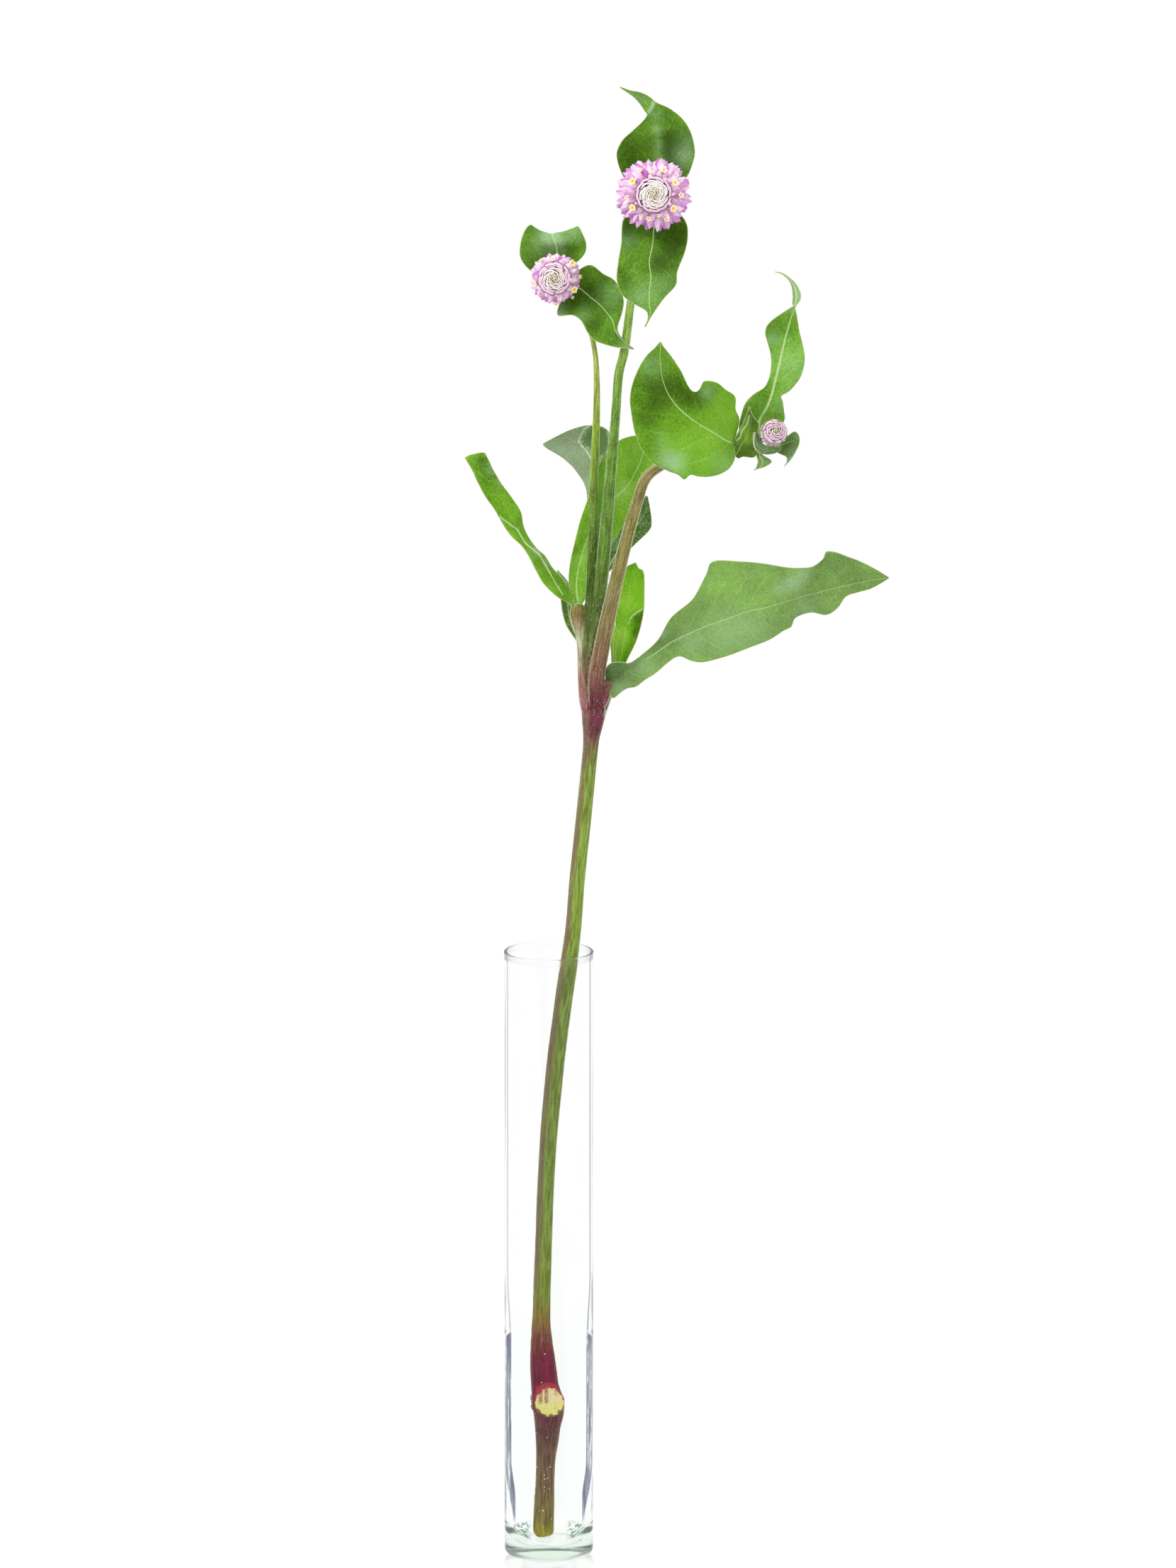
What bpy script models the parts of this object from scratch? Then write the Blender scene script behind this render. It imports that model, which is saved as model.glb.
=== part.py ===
"""Globe amaranth: one cut, branching stem with flower heads and leaves, in a slim glass tube vase."""

import math

import bmesh
import bpy
from mathutils import Vector

MM = 0.001

# Vase and water, in millimetres
VASE_HEIGHT = 210.0
VASE_RADIUS = 15.0
LIP_RADIUS = 15.2
BASE_FLAT_RADIUS = 12.2
WALL_TOP = 0.95
WALL_LOW = 1.8
GLASS_FLOOR = 5.5
TAPER_TOP = 100.0
TAPER_LOW = 78.0
TAPER_STEPS = 4
CAVITY_HEEL = 8.0
LIP_START = 207.0
WATER_LEVEL = 78.0
MENISCUS = 0.6
VASE_SEGMENTS = 36

# What touches keeps this gap
GAP = 0.3

# The stem leans and its parts are laid out as seen by an eye that looks down by this angle
EYE_ELEVATION = math.radians(12.5)

# Leaf blades
BLADE_THICKNESS = 0.64
CELLS_ACROSS = 4
LEAST_CELLS_ALONG = 9
CROSS_ROUNDNESS = 0.6

# Stem tubes
TUBE_SIDES = 10
RING_STEP = 7.0

# Flower heads
GOLDEN_ANGLE = math.pi * (3 - math.sqrt(5))


# Above the fork, each side of the plant drifts away from the eye by this share of its rise
FORK_UP = 285.0
DRIFT = {"low": 0.0, "left": 0.12, "centre": 0.03, "right": -0.14}

# Each route point is (right, up, away from the eye, diameter)
MAIN_STEM = [
    (-1.0, 7.0, 3.0, 5.2),
    (-1.1, 18, 2.7, 5.0),
    (-1.0, 30, 2.2, 5.1),
    (-0.6, 39.5, 1.8, 6.0),
    (-0.4, 46.5, 1.5, 7.4),
    (-0.2, 50.5, 1.3, 8.4),
    (-0.7, 55.5, 1.0, 8.0),
    (-1.2, 61, 0.7, 7.0),
    (-1.7, 69.5, 0.2, 6.2),
    (-2.3, 76.5, -0.3, 6.0),
    (-2.4, 87.5, -0.9, 5.7),
    (-1.8, 105.5, -1.9, 5.5),
    (-1.1, 121, -2.8, 5.4),
    (0.8, 152, -4.6, 5.8),
    (3.0, 171, -5.8, 5.9),
    (4.8, 186.5, -6.9, 5.8),
    (7.0, 200, -7.7, 5.6),
    (8.5, 214.5, -8.3, 5.4),
    (9.6, 229, -8.9, 5.3),
    (11.8, 250, -9.8, 5.3),
    (13.9, 271, -10.8, 5.2),
    (14.4, 277, -11.0, 5.6),
    (14.9, 282, -11.0, 7.2),
    (15.2, 285.5, -11.0, 8.0),
    (15.4, 288, -11.0, 6.5),
]

BRANCH_SIDES = {"stalk_left": "left", "stalk_centre": "centre", "stalk_right": "right"}

BRANCHES = {
    "stalk_left": [
        (14.2, 285.5, -12, 2.8),
        (11.8, 297, -12.8, 2.5),
        (12.4, 307, -13, 2.5),
        (13.8, 325, -12.6, 2.9),
        (14.8, 343, -11.5, 3.2),
        (15.4, 365.5, -10.5, 3.1),
        (16.2, 387, -9.5, 2.5),
        (16.2, 400, -9, 2.1),
        (15.5, 408.5, -8, 1.9),
        (13.2, 417.5, -5.5, 1.9),
        (8.6, 425.5, -3.2, 1.9),
        (4.8, 430, -3.8, 2.0),
        (2.9, 432, -6.5, 2.4),
        (2.6, 432.5, -9.0, 3.0),
    ],
    "stalk_centre": [
        (15.1, 285.5, -11, 3.2),
        (13.1, 297, -10.9, 2.8),
        (14.3, 307, -10.6, 2.8),
        (17.4, 325, -9.7, 3.5),
        (19.0, 343, -8.8, 3.9),
        (20.9, 365.5, -7.5, 3.8),
        (22.7, 387, -6, 3.2),
        (23.7, 400, -5, 3.2),
        (25.7, 408.5, -4, 3.1),
        (27.6, 423, -2.8, 2.9),
        (29.5, 435.5, -1.5, 2.7),
        (32.4, 450, -1.2, 2.6),
        (34.6, 457, -3.2, 2.6),
        (35.5, 459.5, -6.8, 2.8),
        (35.7, 460, -9.5, 3.4),
    ],
    "stalk_right": [
        (16.3, 285.5, -12, 5.6),
        (16.2, 297, -13.2, 5.6),
        (17.6, 307, -13.5, 5.2),
        (21.4, 325, -14, 4.6),
        (25.8, 343, -14, 4.1),
        (30.0, 357, -13.5, 3.9),
        (32.4, 364, -13, 3.7),
        (36.5, 368, -12.5, 3.4),
        (44.2, 371.5, -12, 3.0),
        (54.2, 373, -13, 2.8),
        (61.4, 374, -15, 2.8),
        (64.3, 374.5, -16, 3.6),
        (68.6, 376, -16.2, 2.4),
        (72.7, 378, -16.2, 2.2),
        (74.8, 379.2, -18.4, 2.6),
    ],
    "shoot_left": [
        (13.7, 285.5, -10.5, 3.0),
        (10.7, 297, -10.3, 2.8),
        (10.7, 307, -10, 2.7),
        (9.6, 319, -9, 3.4),
        (9.4, 322, -8.8, 3.0),
    ],
    "shoot_back": [
        (15.8, 285.5, -9.8, 3.2),
        (17.0, 303.5, -6.5, 2.8),
        (18.2, 320, -3, 2.8),
        (18.5, 334.5, 0.2, 2.6),
        (18.2, 338, 0.8, 2.4),
    ],
    "shoot_axil": [
        (17.8, 285.5, -10.6, 3.2),
        (20.9, 293.5, -9.5, 2.4),
        (22.6, 298.5, -9, 2.2),
    ],
    "cut_side_shoot": [
        (-0.2, 50.5, 1.3, 6.4),
        (-0.1, 51.2, -1.5, 6.8),
        (0.0, 51.8, -4.0, 6.9),
    ],
}

# Each leaf is a row of stations from base to tip: (left edge, rib, right edge), each (right, up, away)
LEAVES = {
    "leaf_top_upper": {
        "side": "centre",
        "lean": 0.15,
        "stations": [
            ((34.8, 461.5, -7.4), (36, 461, -6.9), (37.2, 461.5, -7.4)),
            ((26.5, 465, -6.5), (36.5, 466, -4.6), (45.5, 465, -6)),
            ((23, 473, -8.5), (37, 473, -5), (49, 473, -6)),
            ((24.5, 478.5, -10.5), (37, 478, -6.5), (48.5, 479.5, -6)),
            ((28, 482, -11.5), (36.5, 482, -8.5), (47.5, 483, -6.5)),
            ((31, 484.5, -12), (36, 486, -9), (44.5, 486.5, -6.5)),
            ((33.5, 487, -12.5), (35.5, 488.5, -9.5), (41.5, 489.5, -6.5)),
            ((35, 489, -13), (35, 490.5, -9), (37.5, 491, -5.5)),
            ((36, 491.5, -11), (34, 491.5, -8), (34.5, 490, -4.5)),
            ((34.5, 493.5, -9), (32.5, 492, -7.5), (31.5, 490, -5)),
            ((31.5, 495, -8), (30, 493.5, -7.5), (29.5, 492.5, -7)),
            ((27.5, 495.8, -8), (27, 495.4, -8), (26.5, 495, -8)),
            ((24.2, 497.2, -9), (24, 496.9, -9), (23.8, 496.6, -9)),
        ],
    },
    "leaf_top_lower": {
        "side": "centre",
        "lean": -0.2,
        "stations": [
            ((36.7, 459, -7.4), (35.5, 459, -6.9), (34.3, 459, -7.4)),
            ((43, 455.5, -6), (35.5, 454.5, -4.6), (28, 455.5, -6)),
            ((46.5, 451, -8), (35.5, 448.5, -5), (25, 451.5, -8)),
            ((47, 446, -10.5), (35, 443, -7.5), (24.5, 444, -9.5)),
            ((46, 441, -12), (34, 438, -9), (23.5, 438, -11)),
            ((43.5, 434.5, -12.5), (34.5, 432.5, -10), (23, 431.5, -12)),
            ((43, 430, -14), (34, 427.5, -11), (25, 426.5, -12.5)),
            ((39, 425.5, -13), (34, 424, -12), (29, 423.5, -13)),
            ((35.8, 421, -13), (34.3, 420.6, -12.8), (32.9, 421.2, -13.2)),
            ((34.3, 418.6, -13.4), (33.8, 418.4, -13.4), (33.4, 418.6, -13.4)),
            ((32.9, 415.9, -14), (32.6, 415.9, -14), (32.3, 416, -14)),
        ],
    },
    "leaf_left_upper": {
        "side": "left",
        "lean": 0.0,
        "stations": [
            ((1.4, 432.5, -7.2), (2.6, 433, -6.9), (3.8, 432.5, -7.2)),
            ((-5.3, 434.5, -7.5), (2.6, 437, -4.8), (8, 436.5, -6.5)),
            ((-9.4, 439, -9.5), (2.8, 441.5, -5.2), (12, 440.5, -8.5)),
            ((-9.6, 444, -10.5), (2.2, 444.5, -6), (12.7, 444, -10)),
            ((-8.4, 448, -9.5), (1.3, 446.5, -4), (11.5, 447.5, -9)),
            ((-6.5, 450.5, -7.5), (1.2, 447.5, -1.5), (10, 450, -7)),
            ((-4.6, 449.5, -4), (1.2, 446, 0.8), (8.2, 449, -4)),
            ((-1.9, 446, -1), (1.4, 442.5, 2), (5.3, 446, -1)),
            ((0.5, 442.5, 1.5), (1.7, 440, 2.6), (3.1, 442.5, 1.5)),
            ((1.6, 438.2, 3), (1.9, 437.5, 3), (2.3, 438.2, 3)),
        ],
    },
    "leaf_left_lower": {
        "side": "left",
        "lean": -0.15,
        "stations": [
            ((5.0, 431.8, -6.6), (4.2, 430.8, -6.2), (3.2, 430, -6.6)),
            ((9, 434.5, -7.0), (6.6, 430, -5.8), (3.8, 425, -7.5)),
            ((14, 437, -8.5), (10.6, 429, -6.8), (3, 420, -11)),
            ((18.5, 434, -9.5), (14.2, 426, -8), (8, 420, -11.5)),
            ((22.5, 431.5, -9), (17.3, 423.5, -8.5), (11, 418, -11.5)),
            ((25.2, 426, -9.5), (19.9, 420.5, -9.2), (13.2, 414, -12)),
            ((25, 421.5, -10.5), (21.6, 418, -10.2), (15.4, 411.5, -12.5)),
            ((23.3, 416, -14), (22.6, 414.5, -13), (19, 410, -14)),
            ((23.2, 413.3, -15), (24.5, 412, -13), (23, 409, -14.5)),
            ((25.4, 411.1, -13.5), (26.2, 409.9, -13.5), (26.1, 408.8, -14.5)),
            ((28.8, 408.8, -14), (28.7, 408.5, -14), (28.6, 408.2, -14)),
        ],
    },
    "leaf_right_broad": {
        "side": "right",
        "lean": -0.25,
        "stations": [
            ((62.4, 375.6, -17.5), (62.4, 376.6, -17.5), (62.9, 377.5, -17.5)),
            ((62.5, 370.5, -17.5), (60.5, 377.5, -18.5), (64, 384, -18.5)),
            ((59, 366.5, -19.5), (58, 379, -20), (63, 389.5, -22)),
            ((53.5, 365.5, -22), (54, 381.5, -21), (62, 393, -25)),
            ((48.2, 366, -24), (50.2, 383.5, -21.5), (56.5, 396.5, -27)),
            ((45.4, 364.5, -26), (46.6, 386, -21.5), (52, 396.5, -25.5)),
            ((40, 367, -24), (43.2, 389.5, -21.2), (49.5, 394, -20)),
            ((33.6, 372, -23), (40.8, 392.5, -20.8), (46.5, 397.5, -17)),
            ((29.5, 380, -22.5), (39, 396, -20.5), (44, 402.5, -17)),
            ((27.5, 390, -22), (37.7, 400, -20), (41.3, 406, -18)),
            ((30, 399.5, -21), (37.4, 404, -19.5), (39.4, 408, -18.5)),
            ((33.6, 406, -19.5), (37.4, 407.5, -19), (38.4, 409.2, -18.6)),
            ((37.3, 410.4, -18.5), (37.7, 410.4, -18.5), (38.1, 410.4, -18.5)),
        ],
    },
    "leaf_right_tall": {
        "side": "right",
        "lean": 0.2,
        "stations": [
            ((69.4, 378.5, -15.0), (70.4, 378.5, -15.0), (71.4, 378.5, -15.0)),
            ((65.5, 383.5, -17), (71.2, 384.5, -14.4), (78, 384, -14.8)),
            ((66.5, 389.5, -19), (73.2, 389, -15), (79, 389.5, -17)),
            ((69.6, 393.5, -17.5), (74.6, 393, -14.5), (78.7, 392.5, -15)),
            ((73.4, 397, -15), (76, 396, -14), (82.3, 395.5, -14)),
            ((74.8, 402, -14), (77.3, 401, -13.5), (85.7, 400.5, -15)),
            ((74.5, 407.5, -14.5), (78.5, 406, -13.5), (86.5, 405.5, -15.5)),
            ((73.2, 413, -16.5), (79.8, 412, -14), (85.7, 410, -14)),
            ((74.6, 417.5, -18), (81.1, 416.5, -14.5), (84.6, 415.5, -12.5)),
            ((79.2, 420.7, -17.5), (82.6, 420, -14.5), (83.4, 420.5, -12)),
            ((83.8, 423.4, -15.5), (83.2, 423, -14), (82.2, 423.4, -12.5)),
            ((85, 426, -13.5), (83.6, 426.5, -13), (82.4, 427, -12)),
            ((84, 429.1, -12.5), (83, 429.6, -12.5), (82.2, 430.1, -12.5)),
            ((81.5, 432.6, -13), (81.1, 432.2, -13), (80.8, 431.8, -13)),
            ((76.6, 434.6, -14), (76.6, 434.2, -14), (76.6, 433.9, -14)),
        ],
    },
    "leaf_low_right": {
        "side": "low",
        "lean": -0.25,
        "stations": [
            ((18, 290.5, -13.5), (19, 289, -13.5), (20, 288, -13.5)),
            ((19.4, 294.7, -15), (21.8, 293, -14), (22.8, 290.6, -14.5)),
            ((20, 300.7, -17.5), (25, 297, -15), (25.7, 293.8, -16)),
            ((26.4, 302.6, -17.5), (29.8, 301, -16), (30, 295, -17)),
            ((32, 305.3, -17.5), (35.3, 305.5, -17), (35.3, 299.5, -18)),
            ((38.4, 313.4, -18), (41, 309, -18), (40.3, 303, -19)),
            ((45, 321.4, -18), (47.5, 313, -19), (44.6, 305, -19)),
            ((50.6, 328, -18), (54.2, 316, -20), (51.8, 303, -21.5)),
            ((55.7, 336.5, -17.5), (62.6, 318, -20.5), (62.6, 306, -22)),
            ((67.4, 336.7, -17), (70.6, 320.5, -20.5), (72.2, 309.5, -22)),
            ((78.2, 335, -18.5), (78.2, 323, -20), (81, 313.5, -20)),
            ((88, 335, -20.5), (86, 325.5, -19.5), (84, 318.5, -18)),
            ((93, 339, -19.5), (92.5, 327.5, -19), (90, 319.5, -18.5)),
            ((99, 339, -17.5), (98.5, 329, -18.5), (97, 321, -19.5)),
            ((106.5, 336, -17), (106, 330, -18), (102, 326, -18)),
            ((114.1, 331.4, -18), (114.2, 331, -18), (114.1, 330.6, -18)),
        ],
    },
    "leaf_low_left": {
        "side": "low",
        "lean": 0.2,
        "stations": [
            ((7.4, 322.6, -10.4), (7.8, 321.4, -9.8), (8.4, 322.6, -9.2)),
            ((4.3, 326, -13), (3.6, 324.5, -10), (7.2, 325.6, -8.2)),
            ((2.2, 330, -14), (-0.2, 328, -10.4), (4.8, 330, -7.8)),
            ((-1.2, 335, -14.5), (-4.1, 334, -10.8), (1.2, 334.5, -7.6)),
            ((-4.8, 340.5, -15), (-7.9, 340.5, -11), (-1.4, 338.5, -8)),
            ((-8.6, 343.5, -15), (-10.8, 344, -11.5), (-5.3, 341.5, -8.5)),
            ((-12.5, 348.5, -15), (-13.4, 347.5, -12), (-7.9, 347.5, -9.5)),
            ((-17, 352.3, -14), (-15.8, 351.6, -12), (-9.4, 353, -10.5)),
            ((-21.6, 358.6, -13), (-17.3, 357.6, -12), (-12, 357.6, -11.5)),
            ((-24.5, 364, -12.5), (-20.2, 363.5, -11.5), (-16.3, 364, -11.5)),
            ((-26.4, 367.7, -12), (-22.6, 368.2, -10.5), (-19.2, 369, -11)),
            ((-28.3, 371, -10), (-25.2, 372.2, -8.5), (-21.8, 373.4, -9)),
            ((-27.4, 371.8, -6), (-25, 372.2, -5), (-22.8, 372.5, -5.5)),
            ((-25.7, 369.4, -3.5), (-25, 369.4, -3.5), (-24.2, 369.4, -3.5)),
        ],
    },
    "leaf_back_left": {
        "side": "low",
        "lean": 0.5,
        "stations": [
            ((19, 337.6, 1.6), (18, 337.4, 2.0), (17, 337.6, 1.6)),
            ((19.7, 350, 4), (16.6, 350, 3), (13.2, 350, 4)),
            ((21.4, 360, 5), (16.3, 360, 4.5), (12.7, 361, 5)),
            ((22, 369.5, 4.5), (15.4, 368, 5.5), (9, 367.7, 5)),
            ((20.6, 380.4, 3.5), (12.5, 374.6, 5), (4.8, 371.8, 4)),
            ((15, 383, 1.5), (7.7, 378, 4), (1.7, 373.7, 2.5)),
            ((7.7, 381.6, 1), (3.4, 378.5, 2), (-0.5, 375, 1)),
            ((-1.7, 377, 0), (-1.9, 376.6, 0), (-1.8, 376.2, 0)),
        ],
    },
    "leaf_back_tall": {
        "side": "low",
        "lean": 0.12,
        "stations": [
            ((8.8, 322.8, -6.8), (9.6, 322.4, -6.8), (10.4, 322.8, -6.8)),
            ((6.8, 329.5, -6.2), (9.0, 331, -5), (12.5, 326.5, -6.2)),
            ((7.2, 336, -6), (11, 338.5, -4.4), (14.6, 333, -5.4)),
            ((8.6, 342.5, -6), (13.7, 346, -4), (17.3, 338, -4.6)),
            ((10.6, 350.5, -5), (17.8, 353, -3.2), (21, 342, -3.6)),
            ((13.2, 358, -4), (22, 358, -2.4), (24.7, 348, -2.8)),
            ((16.3, 367, -3.6), (26.4, 362, -2), (29.5, 357, -2.6)),
            ((19.2, 373.5, -3.6), (29.3, 367, -2), (33, 363.5, -3)),
            ((23.5, 377.5, -4), (31, 370.5, -2.6), (35.3, 368, -4)),
            ((27.4, 379, -4.6), (32.2, 375, -3.6), (36.2, 373, -5)),
            ((32.9, 379.8, -5.2), (33.3, 380, -5.2), (33.7, 379.8, -5.2)),
        ],
    },
    "leaf_back_right": {
        "side": "low",
        "lean": 0.45,
        "stations": [
            ((20.2, 333, -0.4), (19.4, 333.8, -0.1), (18.7, 334.6, -0.4)),
            ((24.5, 337.4, 1.5), (22.6, 339, 2), (20.2, 341, 1.8)),
            ((28.8, 342.2, 2.5), (27, 345.4, 3.2), (25, 349, 3)),
            ((34, 347.3, 1.5), (32, 352, 3), (29.8, 356.6, 3)),
            ((34.8, 351, 0.5), (33.4, 354.5, 1.5), (32, 358, 2)),
            ((33.6, 358.8, 0), (33.2, 359, 0), (32.8, 358.9, 0)),
        ],
    },
    "leaf_mid_right": {
        "side": "low",
        "lean": 0.1,
        "stations": [
            ((22.2, 298, -9), (23, 297.6, -8.8), (23.8, 298, -9)),
            ((22, 303.6, -9), (24.2, 303.4, -7.8), (26.6, 303.6, -9.5)),
            ((22.6, 310.6, -8.5), (25.4, 310, -6.8), (29.8, 310.3, -9)),
            ((22.6, 318, -8), (26.2, 317.5, -6.2), (32, 318.7, -9)),
            ((23.5, 325, -7.8), (27, 324.5, -6), (32.4, 325.5, -8)),
            ((24.5, 331, -8), (27.6, 330, -6.2), (32.2, 333, -7.5)),
            ((26.4, 335, -8), (28.6, 334.6, -7), (30.5, 334.5, -7.5)),
            ((28.9, 336.1, -8), (29.3, 336.3, -8), (29.7, 336.1, -8)),
        ],
    },
    "leaf_axil_small": {
        "side": "low",
        "lean": 0.0,
        "stations": [
            ((21.5, 298.5, -10.0), (22, 298.3, -10.0), (22.5, 298.5, -10.0)),
            ((21, 307, -10.8), (22, 306.7, -10.4), (22.8, 307, -10.8)),
            ((20.6, 311.3, -10.8), (22, 310.8, -10.3), (23.9, 312, -10.8)),
            ((21, 314.2, -10.6), (22, 313.9, -10.3), (23, 313.9, -10.6)),
            ((21.7, 315.6, -10.4), (22, 315.7, -10.4), (22.3, 315.6, -10.4)),
        ],
    },
    "leaf_under_left": {
        "side": "low",
        "lean": 0.35,
        "stations": [
            ((10.6, 309.8, -8.4), (10, 309.6, -8.2), (9.4, 309.8, -8.4)),
            ((9.8, 314.5, -6.5), (8, 314.5, -5.8), (6, 315, -6.5)),
            ((9, 319.7, -5), (6.7, 319.7, -4.5), (4.6, 319.7, -5.5)),
            ((8.6, 324.2, -4.2), (6.2, 324.2, -3.5), (4, 324, -4.5)),
            ((7, 329.3, -3.5), (4.8, 329.3, -3), (2.9, 329.3, -3.8)),
            ((3.4, 333.6, -3), (3.1, 333.9, -3), (2.8, 333.6, -3)),
        ],
    },
    "bud_leaf_left": {
        "side": "right",
        "lean": 0.0,
        "stations": [
            ((63.9, 376.5, -17.8), (64.8, 376.2, -17.6), (65.7, 376.5, -17.8)),
            ((64.6, 379.5, -20.4), (66.2, 378.8, -19.4), (68.2, 378.6, -20.4)),
            ((65.8, 382, -22.2), (67.9, 381.6, -20.8), (70.0, 381.4, -21.6)),
            ((67, 384, -23), (68.6, 384, -21.5), (70.6, 383.4, -22.2)),
            ((67.3, 386, -23.4), (68, 386, -22.5), (69, 385.5, -22.8)),
            ((67.4, 387.5, -24), (67.7, 387.7, -24), (68, 387.5, -24)),
        ],
    },
    "bud_leaf_right": {
        "side": "right",
        "lean": 0.0,
        "stations": [
            ((74.9, 376.9, -17.2), (75.1, 376, -17.1), (75.2, 375.1, -17.2)),
            ((78, 377.6, -17), (77.8, 375.7, -16.2), (77.1, 373.4, -17.5)),
            ((80.6, 379, -18), (80.4, 376.6, -16.2), (78.6, 372.7, -19)),
            ((83, 380.5, -18.5), (82.6, 377.3, -17), (79.8, 372.2, -20.5)),
            ((84.5, 379.2, -19.5), (83.5, 376, -18.5), (80.4, 371.6, -21.5)),
            ((84.7, 376.6, -21), (83, 374, -20.5), (80.5, 371, -22)),
            ((83.3, 373.4, -22.5), (82.1, 372, -22), (80.5, 370.4, -22.5)),
            ((81.5, 370.6, -23), (80.9, 370.2, -23), (80.2, 369.7, -23)),
            ((80, 369.1, -23.5), (79.7, 368.9, -23.5), (79.4, 368.7, -23.5)),
        ],
    },
    "bud_leaf_below": {
        "side": "right",
        "lean": 0.0,
        "stations": [
            ((71.2, 376, -17.2), (70.3, 375.8, -17), (69.5, 376, -17.2)),
            ((72.2, 372.8, -19.2), (71.2, 372.3, -18.8), (70.1, 372.4, -19.2)),
            ((74.9, 371, -21), (72.2, 370.6, -20.6), (70.6, 370.6, -21)),
            ((75.1, 369.9, -22), (72.2, 369.3, -21.8), (70.4, 369.4, -22)),
            ((72.7, 368.4, -23), (71.3, 368.3, -22.8), (70, 368.3, -23)),
            ((69.8, 367.9, -23.6), (69.5, 367.6, -23.6), (69.3, 367.3, -23.6)),
        ],
    },
    "bud_cup": {
        "side": "right",
        "lean": 0.0,
        "stations": [
            ((73.6, 375.6, -17.4), (72.7, 376.2, -17.4), (71.8, 376.9, -17.4)),
            ((73.4, 372.6, -19.6), (70.8, 375.2, -18.8), (69.6, 379, -19.4)),
            ((72.9, 372, -23), (69.8, 375.4, -22), (69.2, 379.8, -22.5)),
            ((72.3, 372.4, -26), (69.4, 376, -25.5), (69.4, 380.2, -25.5)),
            ((71.3, 373.2, -27.5), (69.7, 376.2, -27.5), (69.8, 379, -27)),
        ],
    },
}

# Flower heads: centre of the ball, the way that it faces (right, up, towards the eye), sizes
HEADS = {
    "head_top": {
        "side": "centre",
        "centre": (35.4, 461, -18.5),
        "faces": (0.0, 0.0, 1.0),
        "core": (9.6, 9.0),
        "reach": 12.8,
        "bracts": 64,
        "bract_width": 4.6,
        "florets": 12,
        "floret_angle": 48,
    },
    "head_left": {
        "side": "left",
        "centre": (2.4, 432.7, -15.2),
        "faces": (-0.06, 0.0, 1.0),
        "core": (6.4, 6.4),
        "reach": 8.7,
        "bracts": 42,
        "bract_width": 3.8,
        "florets": 8,
        "floret_angle": 50,
    },
    "bud_right": {
        "side": "right",
        "centre": (75.9, 379.7, -21.8),
        "faces": (0.24, 0.3, 0.92),
        "core": (3.5, 3.8),
        "reach": 4.7,
        "bracts": 22,
        "bract_width": 2.6,
        "florets": 0,
        "floret_angle": 30,
    },
}


def clear_scene():
    for obj in list(bpy.data.objects):
        bpy.data.objects.remove(obj, do_unlink=True)


def seen(right, up, away):
    """World point, in metres, of a point laid out as the eye sees it."""
    height = (up - away * math.sin(EYE_ELEVATION)) / math.cos(EYE_ELEVATION)
    return Vector((right, away, height)) * MM


def drifted(points, side):
    """The same layout points, moved away from the eye as their side of the plant drifts."""
    moved = []
    for point in points:
        right, up, away = point[:3]
        rise = max(0.0, up - FORK_UP)
        moved.append((right, up, away + DRIFT[side] * rise, *point[3:]))
    return moved


def leaned(stations, side, lean):
    """A leaf's stations, drifted with its side and leaning back by a share of their distance from its base."""
    base = stations[0][1]
    result = []
    for station in stations:
        line = []
        for right, up, away in drifted(station, side):
            reach = math.hypot(right - base[0], up - base[1])
            line.append((right, up, away + lean * reach))
        result.append(line)
    return result


def facing(right, up, toward):
    """World direction of a direction given as the eye sees it."""
    screen_up = Vector((0, math.sin(EYE_ELEVATION), math.cos(EYE_ELEVATION)))
    to_eye = Vector((0, -math.cos(EYE_ELEVATION), math.sin(EYE_ELEVATION)))
    return (Vector((right, 0, 0)) + screen_up * up + to_eye * toward).normalized()


def material(name, colour, roughness, metallic=0.0):
    mat = bpy.data.materials.new(name)
    mat.use_nodes = True
    shader = mat.node_tree.nodes["Principled BSDF"]
    shader.inputs["Base Color"].default_value = (*colour, 1.0)
    shader.inputs["Roughness"].default_value = roughness
    shader.inputs["Metallic"].default_value = metallic
    return mat


def add_object(name, bm, mat):
    bmesh.ops.recalc_face_normals(bm, faces=bm.faces)
    mesh = bpy.data.meshes.new(name)
    bm.to_mesh(mesh)
    bm.free()
    mesh.materials.append(mat)
    obj = bpy.data.objects.new(name, mesh)
    bpy.context.scene.collection.objects.link(obj)
    return obj


def smooth_shade(obj, angle=40):
    obj.data.shade_smooth()
    obj.data.set_sharp_from_angle(angle=math.radians(angle))


def curve_point(points, place):
    """Catmull-Rom curve through points; place runs from 0 to len(points) - 1."""
    last = len(points) - 1
    index = min(int(place), last - 1)
    part = place - index
    before = points[max(index - 1, 0)]
    start = points[index]
    end = points[index + 1]
    after = points[min(index + 2, last)]
    result = []
    for p0, p1, p2, p3 in zip(before, start, end, after):
        value = 2 * p1 + (p2 - p0) * part
        value += (2 * p0 - 5 * p1 + 4 * p2 - p3) * part ** 2
        value += (3 * p1 - p0 - 3 * p2 + p3) * part ** 3
        result.append(value / 2)
    return result


def lathe(name, profile, segments, mat):
    """Solid of revolution about Z; profile is (radius, height) in millimetres, radius 0 never used."""
    bm = bmesh.new()
    rings = []
    for radius, height in profile:
        ring = []
        for step in range(segments):
            angle = 2 * math.pi * step / segments
            point = (radius * math.cos(angle) * MM, radius * math.sin(angle) * MM, height * MM)
            ring.append(bm.verts.new(point))
        rings.append(ring)
    for lower, upper in zip(rings, rings[1:]):
        for step in range(segments):
            following = (step + 1) % segments
            bm.faces.new((lower[step], lower[following], upper[following], upper[step]))
    bm.faces.new(list(reversed(rings[0])))
    bm.faces.new(rings[-1])
    obj = add_object(name, bm, mat)
    smooth_shade(obj)
    return obj


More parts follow.
